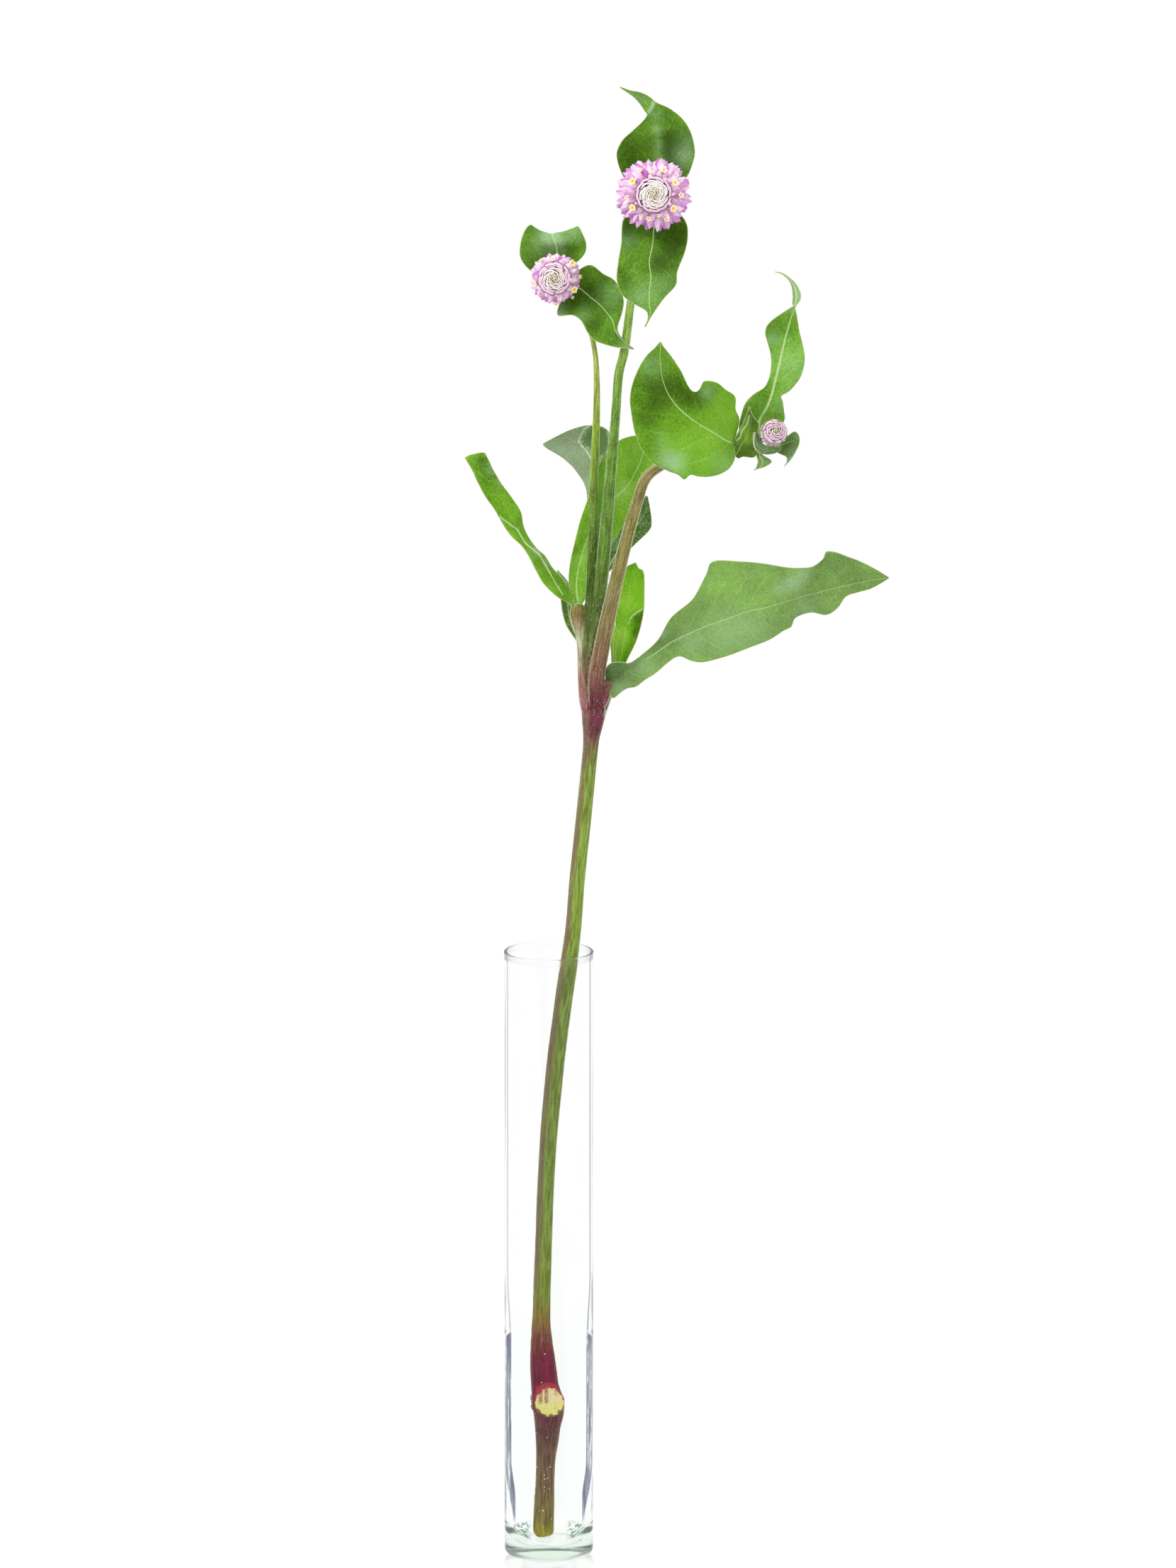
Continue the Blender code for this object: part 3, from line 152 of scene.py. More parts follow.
# Each leaf is a row of stations from base to tip: (left edge, rib, right edge), each (right, up, away)
LEAVES = {
    "leaf_top_upper": [
        ((34.8, 461.5, -7.4), (36, 461, -6.9), (37.2, 461.5, -7.4)),
        ((26.5, 465, -6.5), (36.5, 466, -4.6), (45.5, 465, -6)),
        ((23, 473, -8.5), (37, 473, -5), (49.2, 473, -6)),
        ((24.4, 478.2, -10), (37, 478, -6.5), (48.9, 478.8, -6)),
        ((27.9, 481.7, -11), (36.7, 482, -8), (47.2, 483.4, -6.5)),
        ((30.7, 484.2, -11.8), (36.2, 485.6, -9.5), (44.4, 487, -6.5)),
        ((32.4, 486, -12.3), (35.6, 487.8, -10.6), (40.6, 489.8, -7.5)),
        ((33.2, 487.2, -12.4), (35, 489.1, -11.4), (37.6, 491.1, -9)),
        ((33.3, 487.5, -12.4), (34.5, 489.9, -11.6), (35.8, 492.1, -10)),
        ((32.4, 488.7, -11.4), (33.6, 490.8, -10.6), (35, 492.9, -9.5)),
        ((31, 490.8, -10.2), (32, 492.3, -9.4), (33.2, 494.2, -8.8)),
        ((29.3, 492.8, -9.2), (29.9, 493.9, -8.6), (30.5, 495.3, -8.4)),
        ((27.2, 494.5, -8.6), (27.4, 495.1, -8.3), (27.6, 495.8, -8.2)),
        ((24.1, 496.6, -9), (24.1, 496.8, -9), (24.2, 497, -9)),
    ],
    "leaf_top_lower": [
        ((36.7, 459, -7.4), (35.5, 459, -6.9), (34.3, 459, -7.4)),
        ((43, 455.5, -6), (35.5, 454.5, -4.6), (28, 455.5, -6)),
        ((46.5, 451, -8), (35.5, 448.5, -5), (25, 451.5, -8)),
        ((47, 446, -10.5), (35, 443, -7.5), (24.5, 444, -9.5)),
        ((46, 441, -12), (34, 438, -9), (23.5, 438, -11)),
        ((43.5, 434.5, -12.5), (34.5, 432.5, -10), (23, 431.5, -12)),
        ((43, 430, -14), (34, 427.5, -11), (25, 426.5, -12.5)),
        ((39, 425.5, -13), (34, 424, -12), (29, 423.5, -13)),
        ((35.8, 421, -13), (34.3, 420.6, -12.8), (32.9, 421.2, -13.2)),
        ((34.3, 418.6, -13.4), (33.8, 418.4, -13.4), (33.4, 418.6, -13.4)),
        ((32.9, 415.9, -14), (32.6, 415.9, -14), (32.3, 416, -14)),
    ],
    "leaf_left_upper": [
        ((1.4, 432.5, -7.2), (2.6, 433, -6.9), (3.8, 432.5, -7.2)),
        ((-5.3, 434.5, -7.5), (2.6, 437, -4.8), (8, 436.5, -6.5)),
        ((-9.4, 439, -9.5), (2.8, 441.5, -5.2), (12, 440.5, -8.5)),
        ((-9.6, 444, -10.5), (2.2, 444.5, -6), (12.7, 444, -10)),
        ((-8.4, 448, -9.5), (1.3, 446.5, -4), (11.5, 447.5, -9)),
        ((-6.5, 450.5, -7.5), (1.2, 447.5, -1.5), (10, 450, -7)),
        ((-4.6, 449.5, -4), (1.2, 446, 0.8), (8.2, 449, -4)),
        ((-1.9, 446, -1), (1.4, 442.5, 2), (5.3, 446, -1)),
        ((0.5, 442.5, 1.5), (1.7, 440, 2.6), (3.1, 442.5, 1.5)),
        ((1.6, 438.2, 3), (1.9, 437.5, 3), (2.3, 438.2, 3)),
    ],
    "leaf_left_lower": [
        ((5, 431.8, -6.6), (4.2, 430.8, -6.2), (3.2, 430, -6.6)),
        ((9, 434.5, -7), (6.6, 430, -5.8), (3.8, 425, -7.5)),
        ((14, 437, -8.5), (10.6, 429, -6.8), (3, 420, -11)),
        ((18.5, 434, -9.5), (14.2, 426, -8), (8, 420, -11.5)),
        ((22.5, 431.5, -9), (17.3, 423.5, -8.5), (11, 418, -11.5)),
        ((25.2, 426, -9.5), (19.9, 420.5, -9.2), (13.2, 414, -12)),
        ((25, 421.5, -10.5), (21.6, 418, -10.2), (15.4, 411.5, -12.5)),
        ((23.3, 416, -14), (22.6, 414.5, -13), (19, 410, -14)),
        ((23.2, 413.3, -15), (24.5, 412, -13), (23, 409, -14.5)),
        ((25.4, 411.1, -13.5), (26.2, 409.9, -13.5), (26.1, 408.8, -14.5)),
        ((28.8, 408.8, -14), (28.7, 408.5, -14), (28.6, 408.2, -14)),
    ],
    "leaf_right_broad": [
        ((62.9, 375.2, -17.5), (62.4, 376.6, -17.5), (62.9, 377.8, -17.5)),
        ((62.9, 371.5, -17.8), (61, 377, -18.4), (64.4, 384.2, -18.5)),
        ((61.2, 368.2, -19), (59.6, 377.6, -19.2), (63.1, 388, -20.5)),
        ((58.4, 366.3, -20.5), (58, 378.6, -20), (62.9, 392.2, -22.5)),
        ((55.6, 365.4, -21.8), (56.2, 379.8, -20.6), (59.6, 394.6, -25)),
        ((52.8, 365.1, -23), (54.4, 380.8, -21), (57.2, 396.6, -26.5)),
        ((50.2, 365.3, -24), (52.6, 381.8, -21.2), (54.4, 397.4, -27)),
        ((48.3, 365.8, -24.8), (51, 382.8, -21.4), (52.2, 397.1, -26.5)),
        ((47.2, 365.4, -25.6), (49.7, 383.7, -21.5), (51.1, 394.9, -25)),
        ((45.7, 364.2, -26.2), (48.4, 384.4, -21.5), (49.8, 393.8, -22)),
        ((43.6, 365.8, -25.4), (46.8, 385.7, -21.5), (48.2, 394.3, -20)),
        ((40.2, 367.1, -24.2), (45, 387.2, -21.5), (46.8, 396.3, -18.5)),
        ((35.3, 369.8, -23.4), (43.2, 389, -21.4), (45.6, 398.8, -17.5)),
        ((31.6, 374, -23), (41.6, 391, -21.2), (44.4, 401.2, -17)),
        ((29.1, 379.9, -22.8), (40.2, 393.2, -21), (43.2, 403, -17)),
        ((27.9, 386.3, -22.5), (39.2, 395.6, -20.8), (42, 404.8, -17.2)),
        ((27.4, 391.4, -22), (38.4, 398.2, -20.5), (41, 406.2, -17.6)),
        ((28.3, 396.6, -21.5), (37.9, 400.8, -20.2), (40, 407.4, -18)),
        ((30.5, 402, -20.8), (37.6, 403.6, -19.8), (39.2, 408.4, -18.2)),
        ((33, 405.9, -19.8), (37.5, 406.4, -19.3), (38.6, 409.2, -18.4)),
        ((35.6, 408.4, -19), (37.6, 408.7, -18.9), (38.2, 409.9, -18.5)),
        ((37.4, 410.5, -18.5), (37.7, 410.5, -18.5), (38, 410.4, -18.5)),
    ],
    "leaf_right_tall": [
        ((65.4, 376.4, -15.6), (70.4, 377.5, -15), (73.4, 378, -15)),
        ((64.2, 381, -17), (71.1, 383.9, -14.4), (79.3, 383.6, -14.8)),
        ((65, 386, -18.4), (72.5, 386.8, -14.8), (79.5, 387.4, -16.2)),
        ((66.5, 390.2, -19), (74, 389.6, -15), (79, 390.8, -17)),
        ((69.1, 393, -18), (75.2, 393, -14.8), (78.6, 392.4, -16.4)),
        ((72.6, 395.2, -16.4), (76, 395.9, -14.2), (81.4, 394.2, -14.4)),
        ((74.2, 398, -15), (76.8, 398.6, -13.8), (84.6, 398, -14.6)),
        ((75, 401.5, -14.2), (77.6, 401.6, -13.6), (86, 401.6, -15.2)),
        ((75, 406, -14.2), (78.5, 405.6, -13.5), (86.5, 405.6, -15.5)),
        ((74, 410, -15.2), (79.3, 409.6, -13.7), (85.7, 410.3, -14.6)),
        ((73.1, 413.4, -16.6), (80, 412.6, -14), (84.8, 413.9, -13.6)),
        ((73.6, 416, -17.8), (80.7, 415.2, -14.4), (84.3, 416.6, -12.6)),
        ((75.6, 418.2, -18.2), (81.4, 417.4, -14.6), (83.9, 418.8, -12.2)),
        ((79, 420.6, -17.6), (82.2, 419.6, -14.6), (83.5, 420.8, -12)),
        ((82.3, 422.7, -16.2), (82.9, 421.6, -14.4), (83.1, 422.3, -12.2)),
        ((84.5, 424, -14.8), (83.4, 423.6, -13.8), (82.3, 423.6, -12.5)),
        ((85.2, 426.5, -13.4), (83.7, 426.2, -13), (82.4, 426, -12.2)),
        ((84.2, 429.3, -12.6), (83, 429.4, -12.5), (82, 429.3, -12.5)),
        ((82.1, 431.8, -12.8), (81.5, 431.6, -12.8), (81, 431.4, -12.8)),
        ((79.2, 433.9, -13.4), (79, 433.6, -13.4), (78.8, 433.4, -13.4)),
        ((76.5, 434.5, -14), (76.5, 434.3, -14), (76.5, 434.1, -14)),
    ],
    "leaf_low_right": [
        ((19.6, 300.9, -14.6), (20.7, 296.2, -14), (21.9, 290.5, -14.6)),
        ((20.9, 302.3, -16.4), (22.7, 297.2, -14.9), (23.7, 291.8, -15.6)),
        ((23.7, 302.8, -17.6), (25, 298.9, -15.4), (26.4, 293.7, -16.4)),
        ((27.2, 302.4, -17.8), (27.9, 301, -15.8), (29.6, 294.4, -17)),
        ((29.4, 303.6, -17.5), (31, 303, -16.2), (32.8, 296.8, -17.6)),
        ((31.8, 305.5, -17.5), (34, 304.3, -16.6), (36, 298.8, -18)),
        ((35.4, 308.6, -17.8), (38, 307, -17.4), (40.5, 302.6, -19)),
        ((37.6, 311.3, -18), (41.4, 309.4, -18), (43, 304.3, -19.2)),
        ((41.4, 317.8, -18), (44.6, 311, -18.5), (45, 304.5, -19.6)),
        ((47.8, 323.1, -18), (48.2, 312.7, -19), (48.2, 303.1, -20.5)),
        ((50.3, 326.6, -18), (51, 313.9, -19.5), (52, 302.6, -21.5)),
        ((53.2, 332.3, -17.7), (55, 315.5, -20), (56.5, 303.6, -21.8)),
        ((55.6, 336.7, -17.5), (60, 317.2, -20.3), (61.5, 305.1, -22)),
        ((64.7, 336.7, -17), (67.5, 319.8, -20.5), (68, 307.6, -22)),
        ((72.5, 336, -17.6), (73, 321, -20.4), (74.6, 310.2, -21.8)),
        ((80.3, 334.7, -18.6), (77.4, 322.3, -20), (79, 313, -20.6)),
        ((85, 334.5, -19.8), (81, 323.4, -19.8), (81.9, 314.6, -19.8)),
        ((89.2, 335, -20.5), (84.2, 324.3, -19.6), (83.4, 317.6, -18.6)),
        ((92.9, 337.8, -19.6), (87.3, 325.2, -19.2), (88.6, 319.4, -18)),
        ((93.8, 340, -19.2), (90.5, 326, -19), (93.8, 318.6, -18.6)),
        ((97.2, 339.7, -18), (94, 327, -18.8), (97.6, 320.9, -19.3)),
        ((101, 338.3, -17.4), (98, 328, -18.5), (100.4, 324.7, -19)),
        ((105, 336.8, -17.1), (102.5, 329, -18.3), (104.5, 326.2, -18.4)),
        ((110, 334.3, -17.4), (108.5, 330.2, -18), (109, 327.5, -18)),
        ((114.6, 331.5, -18), (114.8, 331.1, -18), (114.6, 330.7, -18)),
    ],
    "leaf_low_left": [
        ((7.4, 322.6, -10.4), (7.8, 321.6, -9.8), (8.8, 323.2, -9.2)),
        ((3.9, 324.1, -13), (5.6, 325.2, -9.8), (8, 325.2, -8.2)),
        ((1.1, 326.3, -14), (2.9, 328, -10.2), (6.4, 328, -7.8)),
        ((-2, 329.6, -14.5), (1.2, 331.4, -10.6), (3.6, 332, -7.6)),
        ((-4.6, 334.2, -15), (-0.9, 334.2, -10.8), (1, 335, -7.6)),
        ((-6.5, 338, -15), (-2.6, 338, -11), (-1.2, 338.6, -8)),
        ((-9, 341.8, -15), (-5.6, 341.4, -11.5), (-4, 341.2, -8.5)),
        ((-12.6, 345.2, -15), (-9.6, 345.2, -12), (-6.8, 345, -9.5)),
        ((-15.2, 348.8, -14), (-11.4, 348.8, -12), (-8.6, 349.2, -10.5)),
        ((-18.4, 354.4, -13), (-13.6, 353.6, -12), (-9.4, 353.6, -11.5)),
        ((-21.4, 358.6, -12.8), (-16.8, 358.6, -11.8), (-12.6, 358.6, -11.5)),
        ((-24, 363.4, -12.5), (-19.8, 363.2, -11.5), (-16, 363.2, -11.5)),
        ((-25.9, 367.6, -12), (-22, 367.6, -10.8), (-18.7, 367.8, -11)),
        ((-27.9, 370.9, -10.6), (-24.4, 371.4, -9), (-20.3, 371.2, -9.6)),
        ((-28.2, 372, -7.4), (-25.2, 373.2, -6.4), (-21.9, 373.6, -6.8)),
        ((-26.6, 371.6, -5.2), (-25, 371.8, -4.8), (-23.6, 371.8, -5.2)),
    ],
    "leaf_back_left": [
        ((19, 337.6, 1.6), (18, 337.4, 2), (17, 337.6, 1.6)),
        ((19.7, 350, 4), (16.6, 350, 3), (13.2, 350, 4)),
        ((21.4, 360, 5), (16.3, 360, 4.5), (12.7, 361, 5)),
        ((22, 369.5, 4.5), (15.4, 368, 5.5), (9, 367.7, 5)),
        ((20.6, 380.4, 3.5), (12.5, 374.6, 5), (4.8, 371.8, 4)),
        ((15, 383, 1.5), (7.7, 378, 4), (1.7, 373.7, 2.5)),
        ((7.7, 381.6, 1), (3.4, 378.5, 2), (-0.5, 375, 1)),
        ((-1.7, 377, 0), (-1.9, 376.6, 0), (-1.8, 376.2, 0)),
    ],
    "leaf_back_tall": [
        ((8.4, 322.8, -6.8), (9.8, 322.4, -6.8), (11.8, 323.2, -6.8)),
        ((6.8, 329.5, -6.2), (9.4, 330, -5), (13.8, 326.5, -6.2)),
        ((7.2, 336, -6), (11, 338.5, -4.4), (14.6, 333, -5.4)),
        ((8.6, 342.5, -6), (13.7, 346, -4), (17.3, 338, -4.6)),
        ((10.6, 350.5, -5), (17.8, 353, -3.2), (21, 342, -3.6)),
        ((13.2, 358, -4), (22, 358, -2.4), (24.7, 348, -2.8)),
        ((16.3, 367, -3.6), (26.4, 362, -2), (29.5, 357, -2.6)),
        ((19.2, 373.5, -3.6), (29.3, 367, -2), (33, 363.5, -3)),
        ((23.5, 377.5, -4), (31, 370.5, -2.6), (35.3, 368, -4)),
        ((27.4, 379, -4.6), (32.2, 375, -3.6), (36.2, 373, -5)),
        ((32.9, 379.8, -5.2), (33.3, 380, -5.2), (33.7, 379.8, -5.2)),
    ],
    "leaf_back_right": [
        ((20.2, 333, -0.4), (19.4, 333.8, -0.1), (18.7, 334.6, -0.4)),
        ((24.5, 337.4, 1.5), (22.6, 339, 2), (20.2, 341, 1.8)),
        ((28.8, 342.2, 2.5), (27, 345.4, 3.2), (25, 349, 3)),
        ((34, 347.3, 1.5), (32, 352, 3), (29.8, 356.6, 3)),
        ((34.8, 351, 0.5), (33.4, 354.5, 1.5), (32, 358, 2)),
        ((33.6, 358.8, 0), (33.2, 359, 0), (32.8, 358.9, 0)),
    ],
    "leaf_mid_right": [
        ((22.2, 298, -9), (23, 297.6, -8.8), (23.8, 298, -9)),
        ((22, 303.6, -9), (24.2, 303.4, -7.8), (26.6, 303.6, -9.5)),
        ((22.6, 310.6, -8.5), (25.4, 310, -6.8), (29.8, 310.3, -9)),
        ((22.6, 318, -8), (26.2, 317.5, -6.2), (32, 318.7, -9)),
        ((23.5, 325, -7.8), (27, 324.5, -6), (32.4, 325.5, -8)),
        ((24.5, 331, -8), (27.6, 330, -6.2), (32.2, 333, -7.5)),
        ((26.4, 335, -8), (28.6, 334.6, -7), (30.5, 334.5, -7.5)),
        ((28.9, 336.1, -8), (29.3, 336.3, -8), (29.7, 336.1, -8)),
    ],
    "leaf_axil_small": [
        ((21.5, 298.5, -10), (22, 298.3, -10), (22.5, 298.5, -10)),
        ((21, 307, -10.8), (22, 306.7, -10.4), (22.8, 307, -10.8)),
        ((20.6, 311.3, -10.8), (22, 310.8, -10.3), (23.9, 312, -10.8)),
        ((21, 314.2, -10.6), (22, 313.9, -10.3), (23, 313.9, -10.6)),
        ((21.7, 315.6, -10.4), (22, 315.7, -10.4), (22.3, 315.6, -10.4)),
    ],
    "leaf_under_left": [
        ((10.6, 309.8, -8.4), (10, 309.6, -8.2), (9.4, 309.8, -8.4)),
        ((9.8, 314.5, -6.5), (8, 314.5, -5.8), (6, 315, -6.5)),
        ((9, 319.7, -5), (6.7, 319.7, -4.5), (4.6, 319.7, -5.5)),
        ((8.6, 324.2, -4.2), (6.2, 324.2, -3.5), (4, 324, -4.5)),
        ((7, 329.3, -3.5), (4.8, 329.3, -3), (2.9, 329.3, -3.8)),
        ((3.4, 333.6, -3), (3.1, 333.9, -3), (2.8, 333.6, -3)),
    ],
    "bud_leaf_left": [
        ((61.8, 374.2, -17.4), (63.6, 373.2, -17), (65.8, 372, -17.6)),
        ((62.4, 377.2, -18.6), (64.8, 375.4, -17.8), (69.4, 371.8, -18.6)),
        ((64, 380.4, -20.2), (66.6, 378.4, -19), (70.9, 374.6, -20)),
        ((65.6, 383.4, -21.8), (67.6, 381.8, -20.4), (70.6, 379.4, -21)),
        ((66.7, 385.9, -22.8), (68.4, 384.6, -21.6), (70.9, 383, -21.8)),
        ((67.3, 387.5, -23.4), (67.9, 386.9, -22.6), (68.9, 385.8, -22.6)),
        ((67.5, 388.6, -24), (67.7, 388.6, -24), (67.9, 388.5, -24)),
    ],
    "bud_leaf_right": [
        ((74.9, 376.9, -17.2), (75.1, 376, -17.1), (75.2, 375.1, -17.2)),
        ((78, 377.6, -17), (77.8, 375.7, -16.2), (77.1, 373.4, -17.5)),
        ((80.6, 379, -18), (80.4, 376.6, -16.2), (78.6, 372.7, -19)),
        ((83, 380.5, -18.5), (82.6, 377.3, -17), (79.8, 372.2, -20.5)),
        ((84.5, 379.2, -19.5), (83.5, 376, -18.5), (80.4, 371.6, -21.5)),
        ((84.7, 376.6, -21), (83, 374, -20.5), (80.5, 371, -22)),
        ((83.3, 373.4, -22.5), (82.1, 372, -22), (80.5, 370.4, -22.5)),
        ((81.5, 370.6, -23), (80.9, 370.2, -23), (80.2, 369.7, -23)),
        ((80, 369.1, -23.5), (79.7, 368.9, -23.5), (79.4, 368.7, -23.5)),
    ],
    "bud_leaf_below": [
        ((71.2, 376, -17.2), (70.3, 375.8, -17), (69.5, 376, -17.2)),
        ((72.2, 372.8, -19.2), (71.2, 372.3, -18.8), (70.1, 372.4, -19.2)),
        ((74.9, 371, -21), (72.2, 370.6, -20.6), (70.6, 370.6, -21)),
        ((75.1, 369.9, -22), (72.2, 369.3, -21.8), (70.4, 369.4, -22)),
        ((72.7, 368.4, -23), (71.3, 368.3, -22.8), (70, 368.3, -23)),
        ((69.8, 367.9, -23.6), (69.5, 367.6, -23.6), (69.3, 367.3, -23.6)),
    ],
    "bud_cup": [
        ((69, 380.4, -20.5), (69.8, 380, -20.5), (70.9, 379.8, -20.5)),
        ((69, 376.6, -22.5), (70.2, 377, -22.3), (71.3, 377.4, -22)),
        ((70.2, 373.8, -24.5), (71.2, 375, -24.4), (72.6, 376.2, -24)),
        ((73, 372.7, -25.5), (73.6, 374.2, -25.4), (74.4, 375.6, -25)),
        ((76.2, 373, -24.5), (76.4, 374.2, -24.4), (76.6, 375.4, -24)),
        ((78.6, 374.2, -22), (78.6, 374.6, -22), (78.6, 375, -22)),
    ],
}

# Fineness and thickness of the shown surfaces, in millimetres, and sides of the grown tubes
CELL_MM = 0.6
HALF_BLADE = 0.17
STEM_VOXEL = 0.38
RIB_DEPTH = 0.07
STEM_SIDES = 20
STEM_STEP = 1.2
ROOT_REACH = 1.4

# The cut face of the lopped side shoot: its middle (right, up, away), half sizes and directions
SCAR_MIDDLE = (0.24, 52, -4.7)
SCAR_HALF_WIDTH = 4.9
SCAR_HALF_HEIGHT = 5.0
SCAR_RIGHT = (0.999, 0.033, -0.016)
SCAR_UP = (0, 0.423, 0.906)
SCAR_OUT = (0.036, -0.905, 0.423)

# Hairs on each route: how many per millimetre, how long; and the height above which they grow
HAIR_COVER = {
    "main": (1.2, 0.8),
    "stalk_left": (2, 0.8),
    "stalk_centre": (9, 1.2),
    "stalk_right": (8, 1),
    "shoot_left": (4, 1.3),
    "shoot_back": (2, 0.9),
    "shoot_axil": (2, 0.9),
}
HAIR_FROM = {"main": 84}
FORK_HAIRS = 520
FORK_HAIR_SPAN = (283, 291)
STEM_HAIR_RADIUS = 0.032
LEAF_HAIR_RADIUS = 0.028

# How wide each leaf's pale midrib is, as a share of the usual
RIB_SHARES = {
    "leaf_top_upper": 0.1,
    "leaf_right_tall": 1.9,
    "leaf_low_right": 0.5,
    "leaf_back_left": 0.3,
    "leaf_low_left": 0.05,
    "leaf_mid_right": 0.3,
    "bud_leaf_left": 0.3,
    "bud_cup": 0.1,
}

# Leaves whose midrib shows only from this share of their length on
RIB_STARTS = {"leaf_low_right": 0.13}

# Young leaves of a fresher, yellower green, from 0 to 1
FRESH = {"bud_leaf_left": 1, "bud_cup": 0.6, "leaf_mid_right": 0.5, "leaf_axil_small": 0.5}

# Pale edges and creases of rolled leaves, as lines of (right, up), and how wide they are
CREASE_WIDTH = 0.3
CREASES = {
    "leaf_low_left": [
        (-16.6, 351.9), (-13.3, 349.4), (-10.5, 347.4), (-9.1, 344.7), (-7.8, 342.4),
        (-5.5, 340.7), (-3.3, 339.1), (-1.6, 336.3), (-0.5, 334.1), (1.1, 331.3), (2.8, 328.6),
        (4.7, 325.5),
    ],
    "bud_leaf_left": [(67.7, 386), (67.1, 383), (65.4, 381), (64.6, 378.6), (63.6, 377.5)],
    "leaf_mid_right": [
        (27.3, 315.8), (27.6, 317.3), (28.6, 318.6), (30.1, 319.6), (31.8, 320.7),
    ],
    "leaf_back_left": [
        (14.2, 371.5), (13.9, 372.7), (11.7, 375.2), (10.1, 377.7), (10.9, 379.6), (12, 382),
        (14.2, 383),
    ],
    "bud_cup": [
        (71, 383), (69.7, 381), (69.3, 379.2), (69.2, 377), (69.4, 375.6), (69.9, 374.3),
        (71.3, 372.9),
    ],
}

# Painted light and shade on the leaves, as lighter and darker spots: (right, up, size, strength), in
# millimetres
PAINTED_LIGHT_AND_SHADE = {
    "leaf_top_upper": [
        (25.4, 472, 5, -0.45), (30.4, 472.6, 4, -0.3), (41.2, 478.5, 5, -0.9),
        (41.4, 472, 4, -0.9), (33.3, 482.5, 5, 0.3), (30, 494, 5, -0.1),
        (37.3, 470.5, 1.8, 0.9), (37.1, 474.5, 1.8, 0.9), (36.9, 478.5, 1.8, 0.9),
        (36.4, 483, 1.8, 0.7),
    ],
    "leaf_top_lower": [
        (42, 448.5, 6, -0.8), (27.5, 449, 4, -0.7), (36.9, 437, 3.5, -0.8), (42, 441, 4, -0.5),
        (28, 438, 7, 0.3), (31, 427, 5, 0.4), (25.5, 432.5, 3, -0.5),
    ],
    "leaf_left_upper": [(10.5, 441, 3, 0.3), (6.5, 442.5, 3, -0.4), (-8, 438, 4, 0.1)],
    "leaf_left_lower": [
        (14.2, 427.5, 5, -0.6), (9, 424, 3.5, -0.6), (14.6, 417, 3, -0.8), (17, 431, 4, -0.2),
        (21.5, 427, 4, 0.3), (11.5, 420.5, 3, 0.4),
    ],
    "leaf_right_broad": [
        (34.4, 393.2, 7, -0.9), (42.2, 396.4, 5, -0.9), (48.2, 390.8, 4.5, -1.1),
        (34, 385, 5, -0.5), (33.5, 376.7, 4, -0.3), (57.4, 385, 7, 0.5), (46, 374.8, 8, 0.45),
        (57.4, 373.5, 6, 0.35), (55.1, 393.4, 3, -0.3), (37.6, 405.5, 4, -0.3),
    ],
    "leaf_right_tall": [
        (68, 386, 4, -0.1), (77.5, 416.5, 4, -0.6), (72, 391.5, 3, -0.3), (83, 402, 6, 0.2),
        (83.5, 427, 5, 0.3),
    ],
    "leaf_low_right": [
        (63.3, 328.5, 11, 0.35), (54.8, 330, 6, 0.15), (50.6, 304.6, 5, 0.2),
        (39.3, 311, 5, -0.5), (23, 298, 5, -1.1), (85.2, 320.9, 6, -0.3),
        (99.3, 331.4, 8, -0.25),
    ],
    "leaf_low_left": [
        (-22.5, 371, 3, -0.7), (-20.5, 366, 4, -0.4), (-15, 355, 5, 0.1),
        (-12.5, 345, 1.8, 0.6), (-8.5, 339.5, 1.8, 0.6), (-4, 333, 2, 0.7),
        (0.5, 327.5, 2, 0.7),
    ],
    "leaf_back_tall": [
        (28.5, 366, 2.5, -0.7), (20, 352, 3.5, -0.4), (10.3, 352, 2.5, -1), (8.3, 341, 2, -1),
        (11.5, 338, 2.2, 0.4), (33.5, 372, 4, -0.3),
    ],
    "leaf_back_left": [
        (13.8, 378, 2.6, -1.6), (17.5, 378, 3, -1.6), (18.5, 373.5, 2.8, -1.2),
        (16.5, 382, 3, -1.4),
    ],
    "leaf_mid_right": [
        (30.6, 317, 2.2, -1.5), (29.6, 312.8, 2.4, -1.4), (32, 319, 1.6, -0.9),
        (25.6, 325, 4.5, 0.5), (24.8, 312.5, 3, 0.6), (28.6, 308.5, 1.8, -0.5),
        (27.9, 335, 1.6, -0.6), (31.6, 331.5, 1.4, -0.6), (25.5, 311, 4, 0.5),
        (26, 322, 3, 0.3),
    ],
    "leaf_under_left": [(4, 331, 3, 1.6)],
    "bud_leaf_left": [
        (65.4, 381, 1.8, 1.1), (66.4, 384, 1.4, 0.7), (67, 378, 1.6, 0.9),
        (69.6, 383, 1.6, -0.5), (66, 373.4, 2.4, -0.4),
    ],
    "bud_leaf_right": [(80, 379, 3, 0.1)],
}
